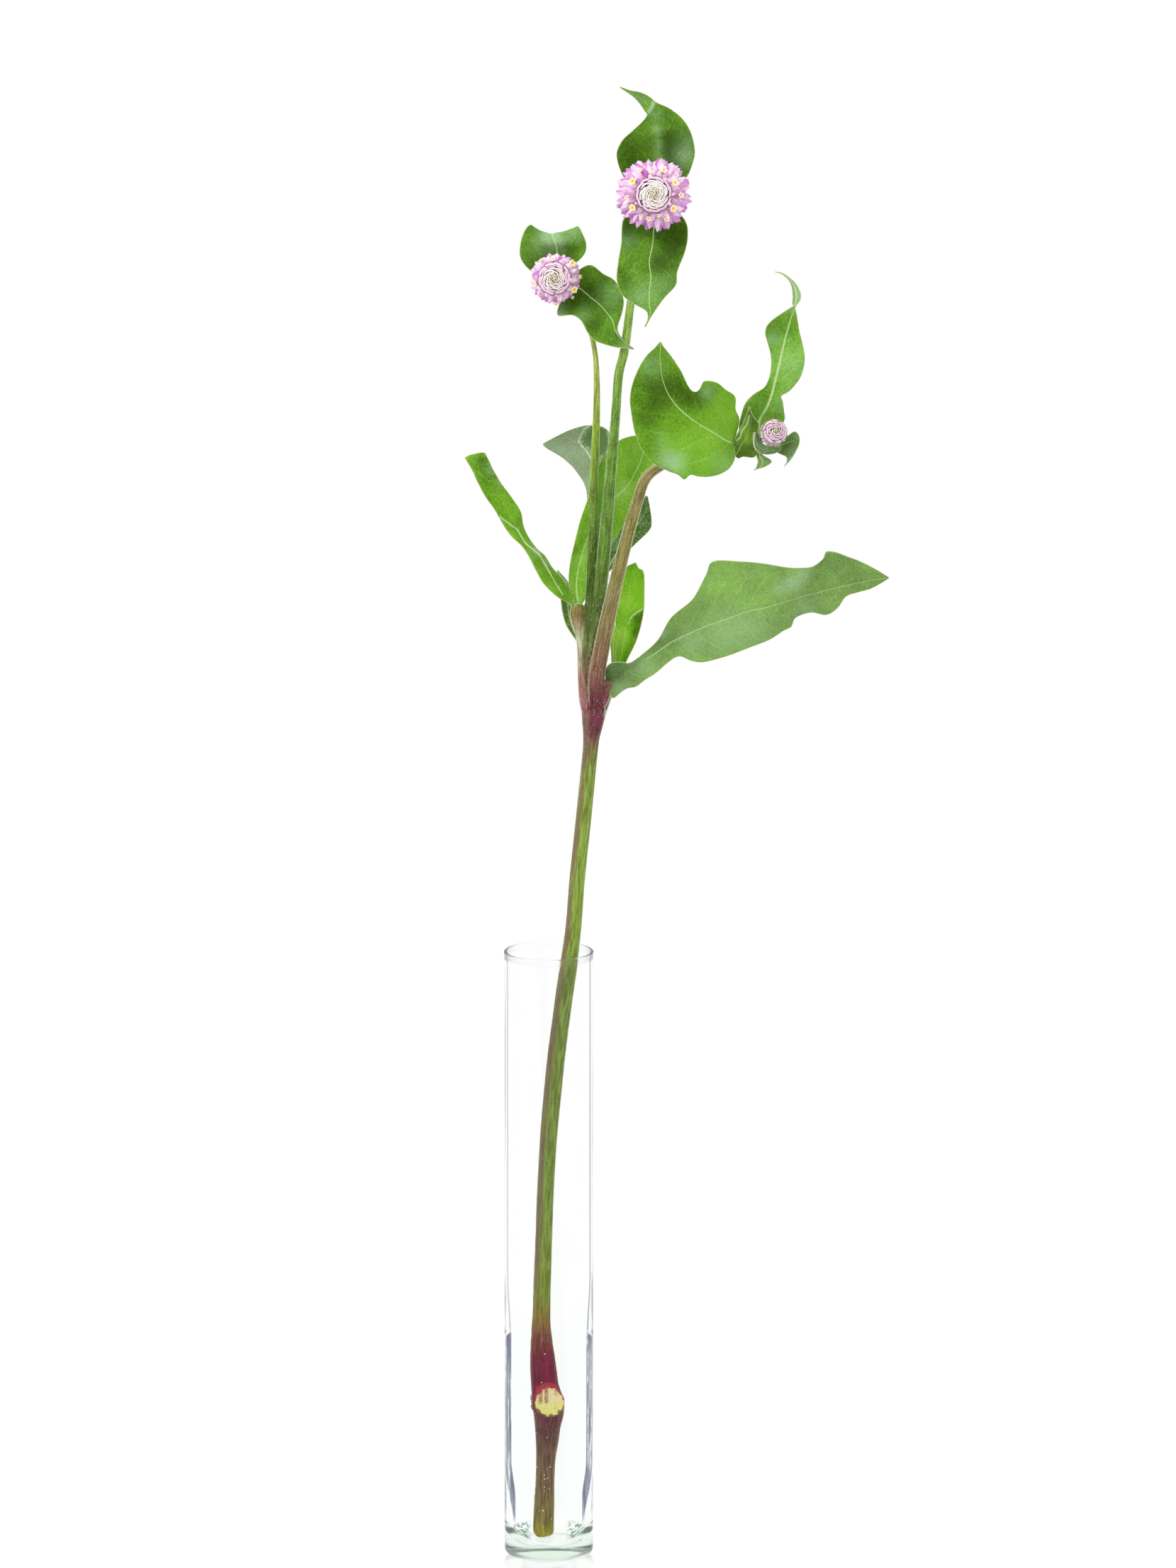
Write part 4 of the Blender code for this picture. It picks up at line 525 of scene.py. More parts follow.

# Painted sheen on the leaves, pale where their down catches the light: (right, up, size, strength)
PAINTED_SHEEN_SPOTS = {
    "leaf_top_upper": [
        (35.6, 491.9, 0.5, 1.6), (35.2, 491, 0.5, 1.6), (34.9, 490.1, 0.5, 1.6),
        (34.4, 489.2, 0.5, 1.6), (33.9, 488.3, 0.5, 1.6), (36.3, 487, 2, 0.35),
        (36.8, 482, 1.8, 0.5), (37.2, 477, 1.8, 0.55), (37.6, 472, 2, 0.5),
        (45.6, 473.6, 3.6, 0.75), (47, 479, 3, 0.25), (29, 493.5, 5, 0.3),
    ],
    "leaf_top_lower": [(31.5, 426.5, 4.5, 0.45), (26.5, 445, 3, 0.35), (39, 429, 5, 0.2)],
    "leaf_left_upper": [
        (0.3, 446.8, 3.4, 1), (3.4, 444.5, 2.8, 0.7), (8.5, 448, 3, 0.5),
        (-2.6, 443.5, 4, 0.35),
    ],
    "leaf_left_lower": [
        (21, 427, 4, 0.35), (12, 420, 2.5, 0.35), (3.6, 421, 2.5, 0.7), (26.5, 411, 2.4, 0.6),
    ],
    "leaf_right_broad": [
        (42.7, 369.8, 3.6, 1), (39, 371.5, 3, 0.5), (34.4, 402.8, 4, 0.35),
        (59.7, 368.9, 5, 0.35), (53.5, 393.5, 2.5, 0.45), (38, 377.5, 2.5, 0.25),
    ],
    "leaf_right_tall": [
        (75.5, 411.7, 2.2, 0.6), (81, 389.5, 3.5, 0.6), (83, 402, 6, 0.25), (83.5, 428, 5, 0.5),
    ],
    "leaf_low_right": [
        (82.4, 329.3, 2.6, 0.8), (85.9, 332.1, 2.4, 0.7), (78.1, 327.2, 2.4, 0.55),
        (60.5, 313, 8, 0.5), (70, 314.5, 6, 0.3), (48, 309.5, 4, 0.5), (32, 301.5, 5, 0.45),
        (24, 294, 3, 0.5), (87, 320, 5, 0.4), (38, 312.5, 2.4, 0.5),
    ],
    "leaf_low_left": [
        (-4, 340.5, 1.8, 0.9), (-1, 336.5, 1.6, 0.5), (-19, 368, 2, 0.5),
        (-16, 363.5, 1.6, 0.4),
    ],
    "leaf_back_tall": [(24.5, 361, 3, 0.2)],
    "bud_leaf_right": [(83, 374, 2, 0.8), (84, 378.5, 1.6, 0.7), (81, 371, 1.6, 0.5)],
    "bud_leaf_below": [(71.5, 371.5, 1.6, 0.4), (74, 370, 1.5, 0.5)],
}

# Air bubbles on the sunken stem: (right, up, away, radius)
BUBBLES = [
    (-1.3, 68.2, -3.9, 0.22), (-3.9, 29.7, 0.6, 0.22), (-4, 26, 0.8, 0.2),
    (-4.3, 20.9, 0.9, 0.22), (-4.4, 16, 0.9, 0.18), (-1.9, 14.9, -1.6, 0.28),
    (-1.3, 25.6, -1.2, 0.2), (-1.5, 22.8, -1.2, 0.16), (0.5, 29.7, -0.8, 0.2),
    (0.9, 12, -1.3, 0.18),
]

# Small bubbles: how many, between which heights, how large, and on which sides of the stem how often
SMALL_BUBBLES = 46
SMALL_BUBBLE_SPAN = (9, 74)
SMALL_BUBBLE_RADII = (0.09, 0.19)
SMALL_BUBBLE_SIDES = (math.pi, -math.pi / 2, 0)
SMALL_BUBBLE_SHARES = (0.5, 0.35, 0.15)

# The table: how it glows, how far below the vase it lies, in millimetres, and its rings in metres
FLOOR_GLOW = 0.985
FLOOR_DROP = 0.02
FLOOR_RADII = (0.03, 0.2, 1, 12)

# The camera: what it looks at (right, up, away), how far off in metres, and its lens
PICTURE_MIDDLE = (13.3, 261.5, 0)
EYE_DISTANCE = 17.7
EYE_LENS = 1200.0

# Flower heads: middle of the ball, the way that it faces (right, up, towards the eye), and its build.
# A rosette ring is (radius, scales, half turn in degrees, size, how far from lilac to cream);
# a floret is (right, up, size, how faded).
HEADS = {
    "head_top": {
        "look": "bract_lilac",
        "seed": 5,
        "side": "centre",
        "centre": (35.5, 460.4, -18.5),
        "faces": (0, 0, 1),
        "core": (9.6, 9),
        "reach": 12.5,
        "bracts": 330,
        "width": 2.3,
        "open_cos": 0.92,
        "last_cos": -0.6,
        "tone": 0.0,
        "rosette": [
            (5.3, 12, 20, 1, 0.3), (4.3, 9, 25, 1.05, 0.8), (3.65, 8, 28, 0.95, 1),
            (3.05, 8, 30, 0.9, 1), (2.45, 7, 33, 0.8, 1.1), (1.9, 6, 38, 0.7, 1.35),
            (1.35, 5, 44, 0.6, 1.7), (0.85, 4, 53, 0.5, 1.9), (0.4, 3, 66, 0.4, 1.9),
            (0.12, 3, 85, 0.3, 1.9),
        ],
        "rosette_high": 0.97,
        "skew": 0.3,
        "florets": [
            (-7, 4.4, 1.45, 0), (7.1, 3.9, 1.45, 0.25), (-7, -4.4, 1.4, 0),
            (6.5, -4.7, 1.45, 0.15), (-4.6, 8, 1.1, 1), (-1, 7.4, 1, 0.8), (3.4, 8.1, 1.5, 0.8),
            (-8.9, -1, 1.1, 0.8), (9, -0.2, 1.4, 0.9), (-4.4, -7, 0.9, 1), (-1.7, -8, 1.2, 0.8),
            (1.7, -7, 0.9, 1), (4.2, -8.2, 1.2, 0.8), (7.6, 6.6, 1, 1),
        ],
    },
    "head_left": {
        "look": "bract_lilac",
        "seed": 8,
        "side": "left",
        "centre": (2.3, 432.3, -15.2),
        "faces": (-0.06, 0, 1),
        "core": (6.4, 6.4),
        "reach": 8.7,
        "bracts": 150,
        "width": 2.5,
        "open_cos": 0.86,
        "last_cos": -0.55,
        "tone": -0.15,
        "rosette": [
            (4.6, 10, 22, 1.1, 0.25), (3.9, 9, 25, 1.05, 0.4), (3.2, 8, 28, 0.95, 0.85),
            (2.6, 7, 31, 0.85, 1), (2, 6, 37, 0.75, 1.2), (1.45, 5, 44, 0.62, 1.6),
            (0.9, 4, 54, 0.5, 1.9), (0.4, 3, 66, 0.4, 1.9), (0.12, 3, 85, 0.3, 1.9),
        ],
        "rosette_high": 0.97,
        "skew": 0.25,
        "florets": [
            (5.9, 5, 1.45, 0.1), (6.5, -3.7, 1.4, 0), (-6.5, -1.6, 1, 0.5),
            (-0.5, 6.3, 0.9, 0.8), (-4.5, 5.9, 1, 1), (8.3, 0.6, 1, 1), (-5.2, -5.6, 0.8, 0.9),
            (5.8, -6.2, 0.8, 0.9), (0.4, -8.4, 1, 0.8),
        ],
    },
    "bud_right": {
        "look": "bract_pale",
        "seed": 3,
        "side": "right",
        "centre": (75.7, 379.9, -21.8),
        "faces": (0.24, 0.2, 0.95),
        "core": (3.5, 3.8),
        "reach": 4.7,
        "bracts": 60,
        "width": 1.9,
        "open_cos": 0.8,
        "last_cos": -0.6,
        "tone": 0.1,
        "rosette": [
            (3.3, 9, 26, 1, 0.25), (2.6, 8, 30, 0.95, 0.35), (1.9, 7, 36, 0.8, 0.6),
            (1.25, 5, 45, 0.65, 1), (0.6, 3, 66, 0.5, 1.8), (0.15, 3, 85, 0.4, 1.9),
        ],
        "rosette_high": 0.95,
        "skew": 0.3,
        "florets": [],
    },
}

# Colours along each grown route: (up in millimetres, colour)
STEM_TINTS = {
    "main": [
        (5.5, (0.44, 0.4, 0.03)), (8, (0.36, 0.31, 0.025)), (12, (0.23, 0.18, 0.04)),
        (26, (0.21, 0.13, 0.065)), (37, (0.16, 0.085, 0.05)), (45, (0.14, 0.05, 0.05)),
        (52, (0.19, 0.025, 0.045)), (58, (0.19, 0.004, 0.036)), (68, (0.19, 0.008, 0.035)),
        (75, (0.25, 0.08, 0.04)), (81, (0.27, 0.2, 0.03)), (88, (0.23, 0.3, 0.03)),
        (120, (0.2, 0.3, 0.04)), (165, (0.21, 0.3, 0.045)), (240, (0.22, 0.33, 0.055)),
        (266, (0.22, 0.31, 0.06)), (275, (0.18, 0.13, 0.06)), (281, (0.14, 0.04, 0.055)),
        (288, (0.19, 0.035, 0.065)),
    ],
    "stalk_left": [
        (285, (0.28, 0.07, 0.1)), (298, (0.32, 0.2, 0.13)), (308, (0.13, 0.18, 0.05)),
        (330, (0.07, 0.135, 0.02)), (345, (0.12, 0.21, 0.03)), (360, (0.18, 0.31, 0.04)),
        (382, (0.28, 0.4, 0.05)), (402, (0.38, 0.46, 0.11)), (432, (0.4, 0.48, 0.15)),
    ],
    "stalk_centre": [
        (285, (0.18, 0.04, 0.06)), (298, (0.26, 0.17, 0.1)), (312, (0.13, 0.19, 0.045)),
        (326, (0.085, 0.15, 0.02)), (345, (0.12, 0.24, 0.03)), (390, (0.17, 0.33, 0.05)),
        (412, (0.26, 0.43, 0.07)), (460, (0.3, 0.46, 0.1)),
    ],
    "stalk_right": [
        (285, (0.14, 0.03, 0.045)), (292, (0.14, 0.035, 0.045)), (300, (0.22, 0.11, 0.075)),
        (312, (0.235, 0.165, 0.075)), (322, (0.25, 0.215, 0.085)), (335, (0.225, 0.2, 0.06)),
        (350, (0.26, 0.23, 0.07)), (372, (0.3, 0.24, 0.1)), (376, (0.08, 0.13, 0.03)),
    ],
    "shoot_left": [
        (285, (0.3, 0.09, 0.13)), (297, (0.42, 0.24, 0.2)), (305, (0.44, 0.4, 0.26)),
        (313, (0.46, 0.5, 0.3)), (316, (0.33, 0.25, 0.12)), (319.5, (0.22, 0.16, 0.05)),
        (322.6, (0.3, 0.36, 0.1)),
    ],
    "shoot_back": [
        (285, (0.16, 0.06, 0.05)), (310, (0.16, 0.2, 0.06)), (340, (0.2, 0.34, 0.06)),
    ],
    "shoot_axil": [
        (285, (0.16, 0.05, 0.05)), (292, (0.3, 0.3, 0.12)), (300, (0.34, 0.45, 0.1)),
    ],
    "cut_side_shoot": [(45, (0.14, 0.04, 0.05)), (60, (0.16, 0.02, 0.04))],
    "right_petiole": [
        (285, (0.14, 0.03, 0.045)), (292, (0.2, 0.05, 0.075)), (297, (0.3, 0.16, 0.12)),
    ],
    "torn_rim": [(48, (0.5, 0.3, 0.22)), (51, (0.7, 0.5, 0.4)), (55, (0.4, 0.05, 0.08))],
}

# Each kind of leaf: the greens of its upper face from dark to pale, its under face,
# and how far apart its side veins are, in millimetres
LEAF_LOOKS = {
    "deep": {
        "greens": [
            (0.04, 0.1, 0.003), (0.06, 0.145, 0.006), (0.1, 0.235, 0.014),
            (0.15, 0.34, 0.03), (0.22, 0.45, 0.07), (0.32, 0.54, 0.15),
        ],
        "under": (0.24, 0.4, 0.15),
        "vein_gap": 6.5,
    },
    "bright": {
        "greens": [
            (0.045, 0.11, 0.003), (0.07, 0.165, 0.006), (0.115, 0.27, 0.012),
            (0.16, 0.37, 0.018), (0.2, 0.44, 0.028), (0.3, 0.53, 0.08),
        ],
        "under": (0.26, 0.42, 0.13),
        "vein_gap": 7.0,
    },
    "grey": {
        "greens": [
            (0.06, 0.12, 0.03), (0.1, 0.18, 0.045), (0.15, 0.26, 0.065),
            (0.19, 0.34, 0.08), (0.23, 0.42, 0.08), (0.34, 0.5, 0.16),
        ],
        "under": (0.27, 0.36, 0.21),
        "vein_gap": 7.5,
    },
}

# Each leaf: its side of the plant, how much it leans back, its look, and how light it is on the whole,
# its own green together with painted light and shade, from -1 for the darkest green to 1.5 for the palest
LEAF_TRAITS = {
    "leaf_top_upper": ("centre", 0.15, "deep", -0.1),
    "leaf_top_lower": ("centre", -0.2, "deep", 0.0),
    "leaf_left_upper": ("left", 0.0, "deep", 0.15),
    "leaf_left_lower": ("left", -0.15, "deep", 0.05),
    "leaf_right_broad": ("right", -0.25, "bright", 0.3),
    "leaf_right_tall": ("right", 0.2, "deep", 0.6),
    "leaf_low_right": ("low", -0.25, "grey", 0.25),
    "leaf_low_left": ("low", 0.2, "bright", 0.2),
    "leaf_back_left": ("low", 0.5, "grey", 0.3),
    "leaf_back_tall": ("low", 0.12, "bright", 1.0),
    "leaf_back_right": ("low", 0.45, "deep", -0.6),
    "leaf_mid_right": ("low", 0.1, "bright", 0.75),
    "leaf_axil_small": ("low", 0.0, "bright", 1.2),
    "leaf_under_left": ("low", 0.35, "deep", -0.8),
    "bud_leaf_left": ("right", 0.0, "grey", -0.6),
    "bud_leaf_right": ("right", 0.0, "grey", 0.0),
    "bud_leaf_below": ("right", 0.0, "grey", 0.0),
    "bud_cup": ("right", 0.0, "grey", -0.9),
}

# Colours that all leaves share
FRESH_TINT = (1.1, 1.2, 0.35)
UNDER_SPECKLE = (0.45, 0.55, 0.35)
# The pale green of the painted sheen
LEAF_PAINTED_SHEEN = (0.35, 0.52, 0.3)
LEAF_MIDRIB = (0.52, 0.68, 0.32)
LEAF_RIM = (0.26, 0.15, 0.06)
LEAF_EDGE = (0.62, 0.72, 0.42)
LEAF_CREASE = (0.68, 0.78, 0.5)

# Colours of the stem's skin: its fibres (as shares of the colour under them), sunlit side, down, and the
# painted sheen along its edges
FIBRE_DARK = (0.55, 0.5, 0.4)
FIBRE_LIGHT = (1.45, 1.4, 1.6)
STEM_SUNNY = (0.2, 0.115, 0.085)
STEM_DOWN = (0.6, 0.6, 0.5)
STEM_EDGE_SHEEN = (0.66, 0.76, 0.5)

# Colours of the cut face: its pith below and above, brown streaks, flecks, and its rim below and above
PITH_BELOW = (0.78, 0.73, 0.2)
PITH_ABOVE = (0.82, 0.68, 0.36)
PITH_STREAK = (0.33, 0.11, 0.06)
PITH_PALE = (0.95, 0.88, 0.5)
PITH_OLIVE = (0.6, 0.5, 0.12)
RIM_BELOW = (0.3, 0.13, 0.07)
RIM_ABOVE = (0.45, 0.03, 0.05)

# Bracts: pale, deep and base colours, and how light the scales of the heart are
BRACT_LOOKS = {
    "bract_lilac": ((0.93, 0.72, 0.86), (0.56, 0.17, 0.55), (0.4, 0.14, 0.32), 0.92),
    "bract_pale": ((0.8, 0.77, 0.68), (0.6, 0.43, 0.53), (0.4, 0.26, 0.3), 0.78),
}
HEART_CREAM = (0.96, 0.87, 0.84)
HEART_ROSE = (0.88, 0.66, 0.8)

# Rings of an open floret: (radius, height, how starry, how near its tip), as shares of its size
FLORET_RINGS = [
    (0.3, -1.6, 0.0, 0.2),
    (0.42, -0.25, 0.0, 0.3),
    (0.97, 0.0, 1.0, 1.0),
    (1.0, 0.1, 1.0, 1.0),
    (0.6, 0.08, 0.3, 0.5),
    (0.36, 0.02, 0.0, 0.2),
    (0.16, -0.2, 0.0, 0.0),
]

# Lights: where each stands, what it is aimed at, its width in metres and its power
LIGHTS = {
    "key": ((-0.9, -0.9, 1.5), (0.02, 0, 0.3), 0.7, 12),
    "fill": ((1.2, -0.7, 0.8), (0.02, 0, 0.3), 0.9, 3),
}

# A place on the middle line of a grown route; radius and up are in millimetres
RoutePlace = namedtuple("RoutePlace", "centre way radius up tint route")


def catmull(points, places):
    """Catmull-Rom curve through points, at places from 0 to len(points) - 1."""
    points = np.asarray(points, float)
    last = len(points) - 1
    index = np.minimum(places.astype(int), last - 1)
    part = (places - index)[:, None]
    p0 = points[np.maximum(index - 1, 0)]
    p1 = points[index]
    p2 = points[index + 1]
    p3 = points[np.minimum(index + 2, last)]
    value = 2 * p1 + (p2 - p0) * part
    value += (2 * p0 - 5 * p1 + 4 * p2 - p3) * part ** 2
    value += (3 * p1 - p0 - 3 * p2 + p3) * part ** 3
    return value / 2


def seen(layout):
    """World points, in metres, of points laid out as the eye sees them: right, up, away."""
    layout = np.asarray(layout, float)
    height = (layout[..., 1] - layout[..., 2] * math.sin(EYE_ELEVATION)) / math.cos(EYE_ELEVATION)
    return np.stack([layout[..., 0], layout[..., 2], height], axis=-1) * MM


def screen_up(points):
    """How high on the eye's picture each world point lies, in millimetres."""
    return (points[..., 1] * math.sin(EYE_ELEVATION) + points[..., 2] * math.cos(EYE_ELEVATION)) / MM


def facing(right, up, toward):
    """World direction of a direction given as the eye sees it."""
    upward = np.array([0, math.sin(EYE_ELEVATION), math.cos(EYE_ELEVATION)])
    to_eye = np.array([0, -math.cos(EYE_ELEVATION), math.sin(EYE_ELEVATION)])
    way = np.array([right, 0, 0]) + upward * up + to_eye * toward
    return way / np.linalg.norm(way)


def drifted(layout, side):
    """The same layout points, moved away from the eye as their side of the plant drifts."""
    moved = np.array(layout, float)
    moved[..., 2] += DRIFT[side] * np.maximum(0.0, moved[..., 1] - FORK_UP)
    return moved


def unit(vectors):
    """The same directions, each of length one."""
    length = np.linalg.norm(vectors, axis=-1, keepdims=True)
    return vectors / np.maximum(length, 1e-12)


def travelled(points):
    """How far along a line of points each of them lies."""
    steps = np.linalg.norm(np.diff(points, axis=0), axis=1)
    return np.concatenate([[0.0], np.cumsum(steps)])


def noise_at(points, scale, seed=0.0):
    """Smooth noise at world points; scale is in millimetres."""
    flat = np.asarray(points).reshape(-1, 3) / (scale * MM) + seed
    values = [noise.noise(Vector(point)) for point in flat]
    return np.array(values).reshape(np.asarray(points).shape[:-1])


def hold_values(mesh, name, values):
    """Keeps a number or a vector for each point of the mesh."""
    values = np.asarray(values, np.float32)
    if values.ndim == 1:
        mesh.attributes.new(name, "FLOAT", "POINT").data.foreach_set("value", values)
    else:
        mesh.attributes.new(name, "FLOAT_VECTOR", "POINT").data.foreach_set("vector", values.ravel())


class Pile:
    """Gathers points, faces and values at each point into one mesh."""

    def __init__(self):
        self.points = []
        self.faces = []
        self.values = {}
        self.count = 0

    def add(self, points, faces, **values):
        """Adds one shape; each value is one number for all of its points, or one for each of them."""
        points = np.asarray(points, float).reshape(-1, 3)
        total = len(points)
        self.points.append(points)
        self.faces.extend([[int(corner) + self.count for corner in face] for face in faces])
        for name, value in values.items():
            value = np.asarray(value, float)
            if value.ndim == 0:
                value = np.full(total, float(value))
            self.values.setdefault(name, []).append(value)
        self.count += total

    def build(self, name, mat):
        """The object made of all that was added."""
        mesh = bpy.data.meshes.new(name)
        mesh.from_pydata(np.concatenate(self.points).tolist(), [], self.faces)
        for key, parts in self.values.items():
            hold_values(mesh, key, np.concatenate(parts))
        mesh.materials.append(mat)
        mesh.shade_smooth()
        made = bpy.data.objects.new(name, mesh)
        bpy.context.scene.collection.objects.link(made)
        return made


def grid_faces(rows, columns, start=0, flip=False):
    """Quads of a grid of points, rows by columns of them."""
    faces = []
    for r in range(rows - 1):
        for c in range(columns - 1):
            a = start + r * columns + c
            quad = [a, a + 1, a + columns + 1, a + columns]
            faces.append(quad[::-1] if flip else quad)
    return faces


def sheet_faces(rows, columns):
    """Faces of a closed thin sheet: a front grid, then a back grid, joined round their rim."""
    back = rows * columns
    faces = grid_faces(rows, columns) + grid_faces(rows, columns, back, flip=True)
    rim = [(0, c) for c in range(columns)] + [(r, columns - 1) for r in range(1, rows)]
    rim += [(rows - 1, c) for c in range(columns - 2, -1, -1)] + [(r, 0) for r in range(rows - 2, 0, -1)]
    corners = [r * columns + c for r, c in rim]
    for here, following in zip(corners, corners[1:] + corners[:1]):
        faces.append([following, here, here + back, following + back])
    return faces


def grid_normals(grid):
    """Unit normals of a grid of points, for the side from which rows run up and columns run right."""
    along = np.gradient(grid, axis=0)
    across = np.gradient(grid, axis=1)
    return unit(-np.cross(along, across))


def add_sheet(pile, grid, half_thick, **values):
    """Adds a thin closed sheet round a mid-surface grid; each value holds for both of its faces."""
    rows, columns = grid.shape[:2]
    front = grid_normals(grid) * half_thick * MM
    points = np.concatenate([(grid + front).reshape(-1, 3), (grid - front).reshape(-1, 3)])
    both = {}
    for key, value in values.items():
        both[key] = np.tile(np.broadcast_to(value, (rows, columns)).ravel(), 2)
    pile.add(points, sheet_faces(rows, columns), **both)


def tube_rings(route, sides, step_mm):
    """Rings of a round tube along a smooth route of (right, up, away, diameter)."""
    route = np.asarray(route, float)
    last = len(route) - 1
    dense = catmull(route, np.linspace(0, last, 40 * last + 1))
    travel = travelled(seen(dense[:, :3])) / MM
    steps = max(2, round(travel[-1] / step_mm))
    even = np.linspace(0, travel[-1], steps + 1)
    samples = np.stack([np.interp(even, travel, dense[:, k]) for k in range(4)], axis=1)
    centres = seen(samples[:, :3])
    ways = unit(np.gradient(centres, axis=0))
    side = np.array([1.0, 0.0, 0.0])
    sides_out, others_out = [], []
    for way in ways:
        side = unit(side - way * side.dot(way))
        sides_out.append(side)
        others_out.append(np.cross(way, side))
    turn = np.arange(sides) * math.tau / sides
    offset = np.cos(turn)[None, :, None] * np.array(sides_out)[:, None]
    offset = offset + np.sin(turn)[None, :, None] * np.array(others_out)[:, None]
    rings = centres[:, None] + offset * (samples[:, 3] / 2 * MM)[:, None, None]
    return rings, centres, ways, samples


def tube_faces(rings, sides):
    """Quads round a closed tube of rings, with a cap at each end."""
    faces = []
    for r in range(rings - 1):
        for s in range(sides):
            t = (s + 1) % sides
            faces.append([r * sides + s, r * sides + t, (r + 1) * sides + t, (r + 1) * sides + s])
    faces.append(list(range(sides))[::-1])
    faces.append([(rings - 1) * sides + s for s in range(sides)])
    return faces


def applied(made):
    """Puts the result of the object's modifiers into its mesh."""
    graph = bpy.context.evaluated_depsgraph_get()
    mesh = bpy.data.meshes.new_from_object(made.evaluated_get(graph))
    made.modifiers.clear()
    made.data = mesh
    return made


def add(tree, kind, inputs=None, **settings):
    """A new node; an input is given as a value or as the socket that feeds it."""
    made = tree.nodes.new(kind)
    for key, value in settings.items():
        setattr(made, key, value)
    for key, value in (inputs or {}).items():
        if isinstance(value, bpy.types.NodeSocket):
            tree.links.new(value, made.inputs[key])
        else:
            made.inputs[key].default_value = value
    return made


def maths(tree, operation, first, second=0.0):
    """One step of arithmetic, on numbers or sockets."""
    return add(tree, "ShaderNodeMath", {0: first, 1: second}, operation=operation).outputs[0]


def times(tree, first, second):
    return maths(tree, "MULTIPLY", first, second)


def plus(tree, first, second):
    return maths(tree, "ADD", first, second)


def minus(tree, first, second):
    return maths(tree, "SUBTRACT", first, second)


def reading(tree, name, part="Fac"):
    """The value that the mesh holds at each point under this name."""
    return add(tree, "ShaderNodeAttribute", attribute_name=name).outputs[part]


def band(tree, value, start, end, low=0.0, high=1.0, kind="SMOOTHSTEP"):
    """Goes smoothly from low to high as value goes from start to end."""
    inputs = {"Value": value, "From Min": start, "From Max": end, "To Min": low, "To Max": high}
    return add(tree, "ShaderNodeMapRange", inputs, interpolation_type=kind).outputs["Result"]


def band_mm(tree, value, start, end, low=0.0, high=1.0):
    """The same for a value in metres, with its start and end in millimetres."""
    return band(tree, value, start * MM, end * MM, low, high)


def near(tree, value, middle, half):
    """One at the middle, nothing beyond half to either side."""
    off = maths(tree, "ABSOLUTE", minus(tree, value, middle))
    return band(tree, off, half, half * 0.3)


def blend(tree, share, first, second, kind="MIX"):
    """Goes from the first colour to the second by a share; colours and share are values or sockets."""
    made = add(tree, "ShaderNodeMix", data_type="RGBA", blend_type=kind)
    for socket, value in ((made.inputs[0], share), (made.inputs[6], first), (made.inputs[7], second)):
        if isinstance(value, bpy.types.NodeSocket):
            tree.links.new(value, socket)
        elif isinstance(value, tuple):
            socket.default_value = (*value, 1.0)
        else:
            socket.default_value = value
    return made.outputs[2]


def ramp(tree, value, low, high, colours):
    """Runs through the colours as value goes from low to high."""
    share = band(tree, value, low, high, kind="LINEAR")
    made = add(tree, "ShaderNodeValToRGB", {0: share})
    stops = made.color_ramp.elements
    while len(stops) < len(colours):
        stops.new(0.5)
    for index, colour in enumerate(colours):
        stops[index].position = index / (len(colours) - 1)
        stops[index].color = (*colour, 1.0)
    return made.outputs[0]


def toned(colour, share):
    """The same colour, lighter or darker by a share."""
    return tuple(share * part for part in colour)


def grain(tree, place, scale, detail=3.0, roughness=0.55):
    """Soft noise between 0 and 1; a larger scale makes finer grains."""
    inputs = {"Vector": place, "Scale": scale, "Detail": detail, "Roughness": roughness}
    return add(tree, "ShaderNodeTexNoise", inputs).outputs["Fac"]


def cells(tree, place, scale):
    """Distance to the nearest cell wall of a net of small cells."""
    inputs = {"Vector": place, "Scale": scale}
    return add(tree, "ShaderNodeTexVoronoi", inputs, feature="DISTANCE_TO_EDGE").outputs["Distance"]


def object_place(tree):
    """Where on the object, in metres, the point lies."""
    return add(tree, "ShaderNodeTexCoord").outputs["Object"]


def stretched(tree, place, scale):
    """A place with each of its parts multiplied by its own number."""
    return add(tree, "ShaderNodeVectorMath", {0: place, 1: scale}, operation="MULTIPLY").outputs[0]


def turned_away(tree):
    """Nothing where the surface faces the eye, one where it is seen edge on."""
    return add(tree, "ShaderNodeLayerWeight", {"Blend": 0.5}).outputs["Facing"]


def new_material(name):
    """A new material, its nodes and its shader."""
    mat = bpy.data.materials.new(name)
    mat.use_nodes = True
    tree = mat.node_tree
    return mat, tree, tree.nodes["Principled BSDF"]


def set_inputs(shader, values):
    """Sets inputs of the shader by their names."""
    for name, value in values.items():
        shader.inputs[name].default_value = value


def soft_inside(shader, weight, radius, scale):
    """Lets light into a thin plant part; radius has each colour's share of the scale in millimetres."""
    set_inputs(shader, {
        "Subsurface Weight": weight,
        "Subsurface Radius": radius,
        "Subsurface Scale": scale * MM,
    })


def surfaced(tree, shader, colour, rough, height, strength, depth):
    """Feeds the shader its colour, its roughness and a bump; depth is in millimetres."""
    tree.links.new(colour, shader.inputs["Base Color"])
    tree.links.new(rough, shader.inputs["Roughness"])
    bump = add(tree, "ShaderNodeBump", {"Height": height, "Strength": strength, "Distance": depth * MM})
    tree.links.new(bump.outputs["Normal"], shader.inputs["Normal"])


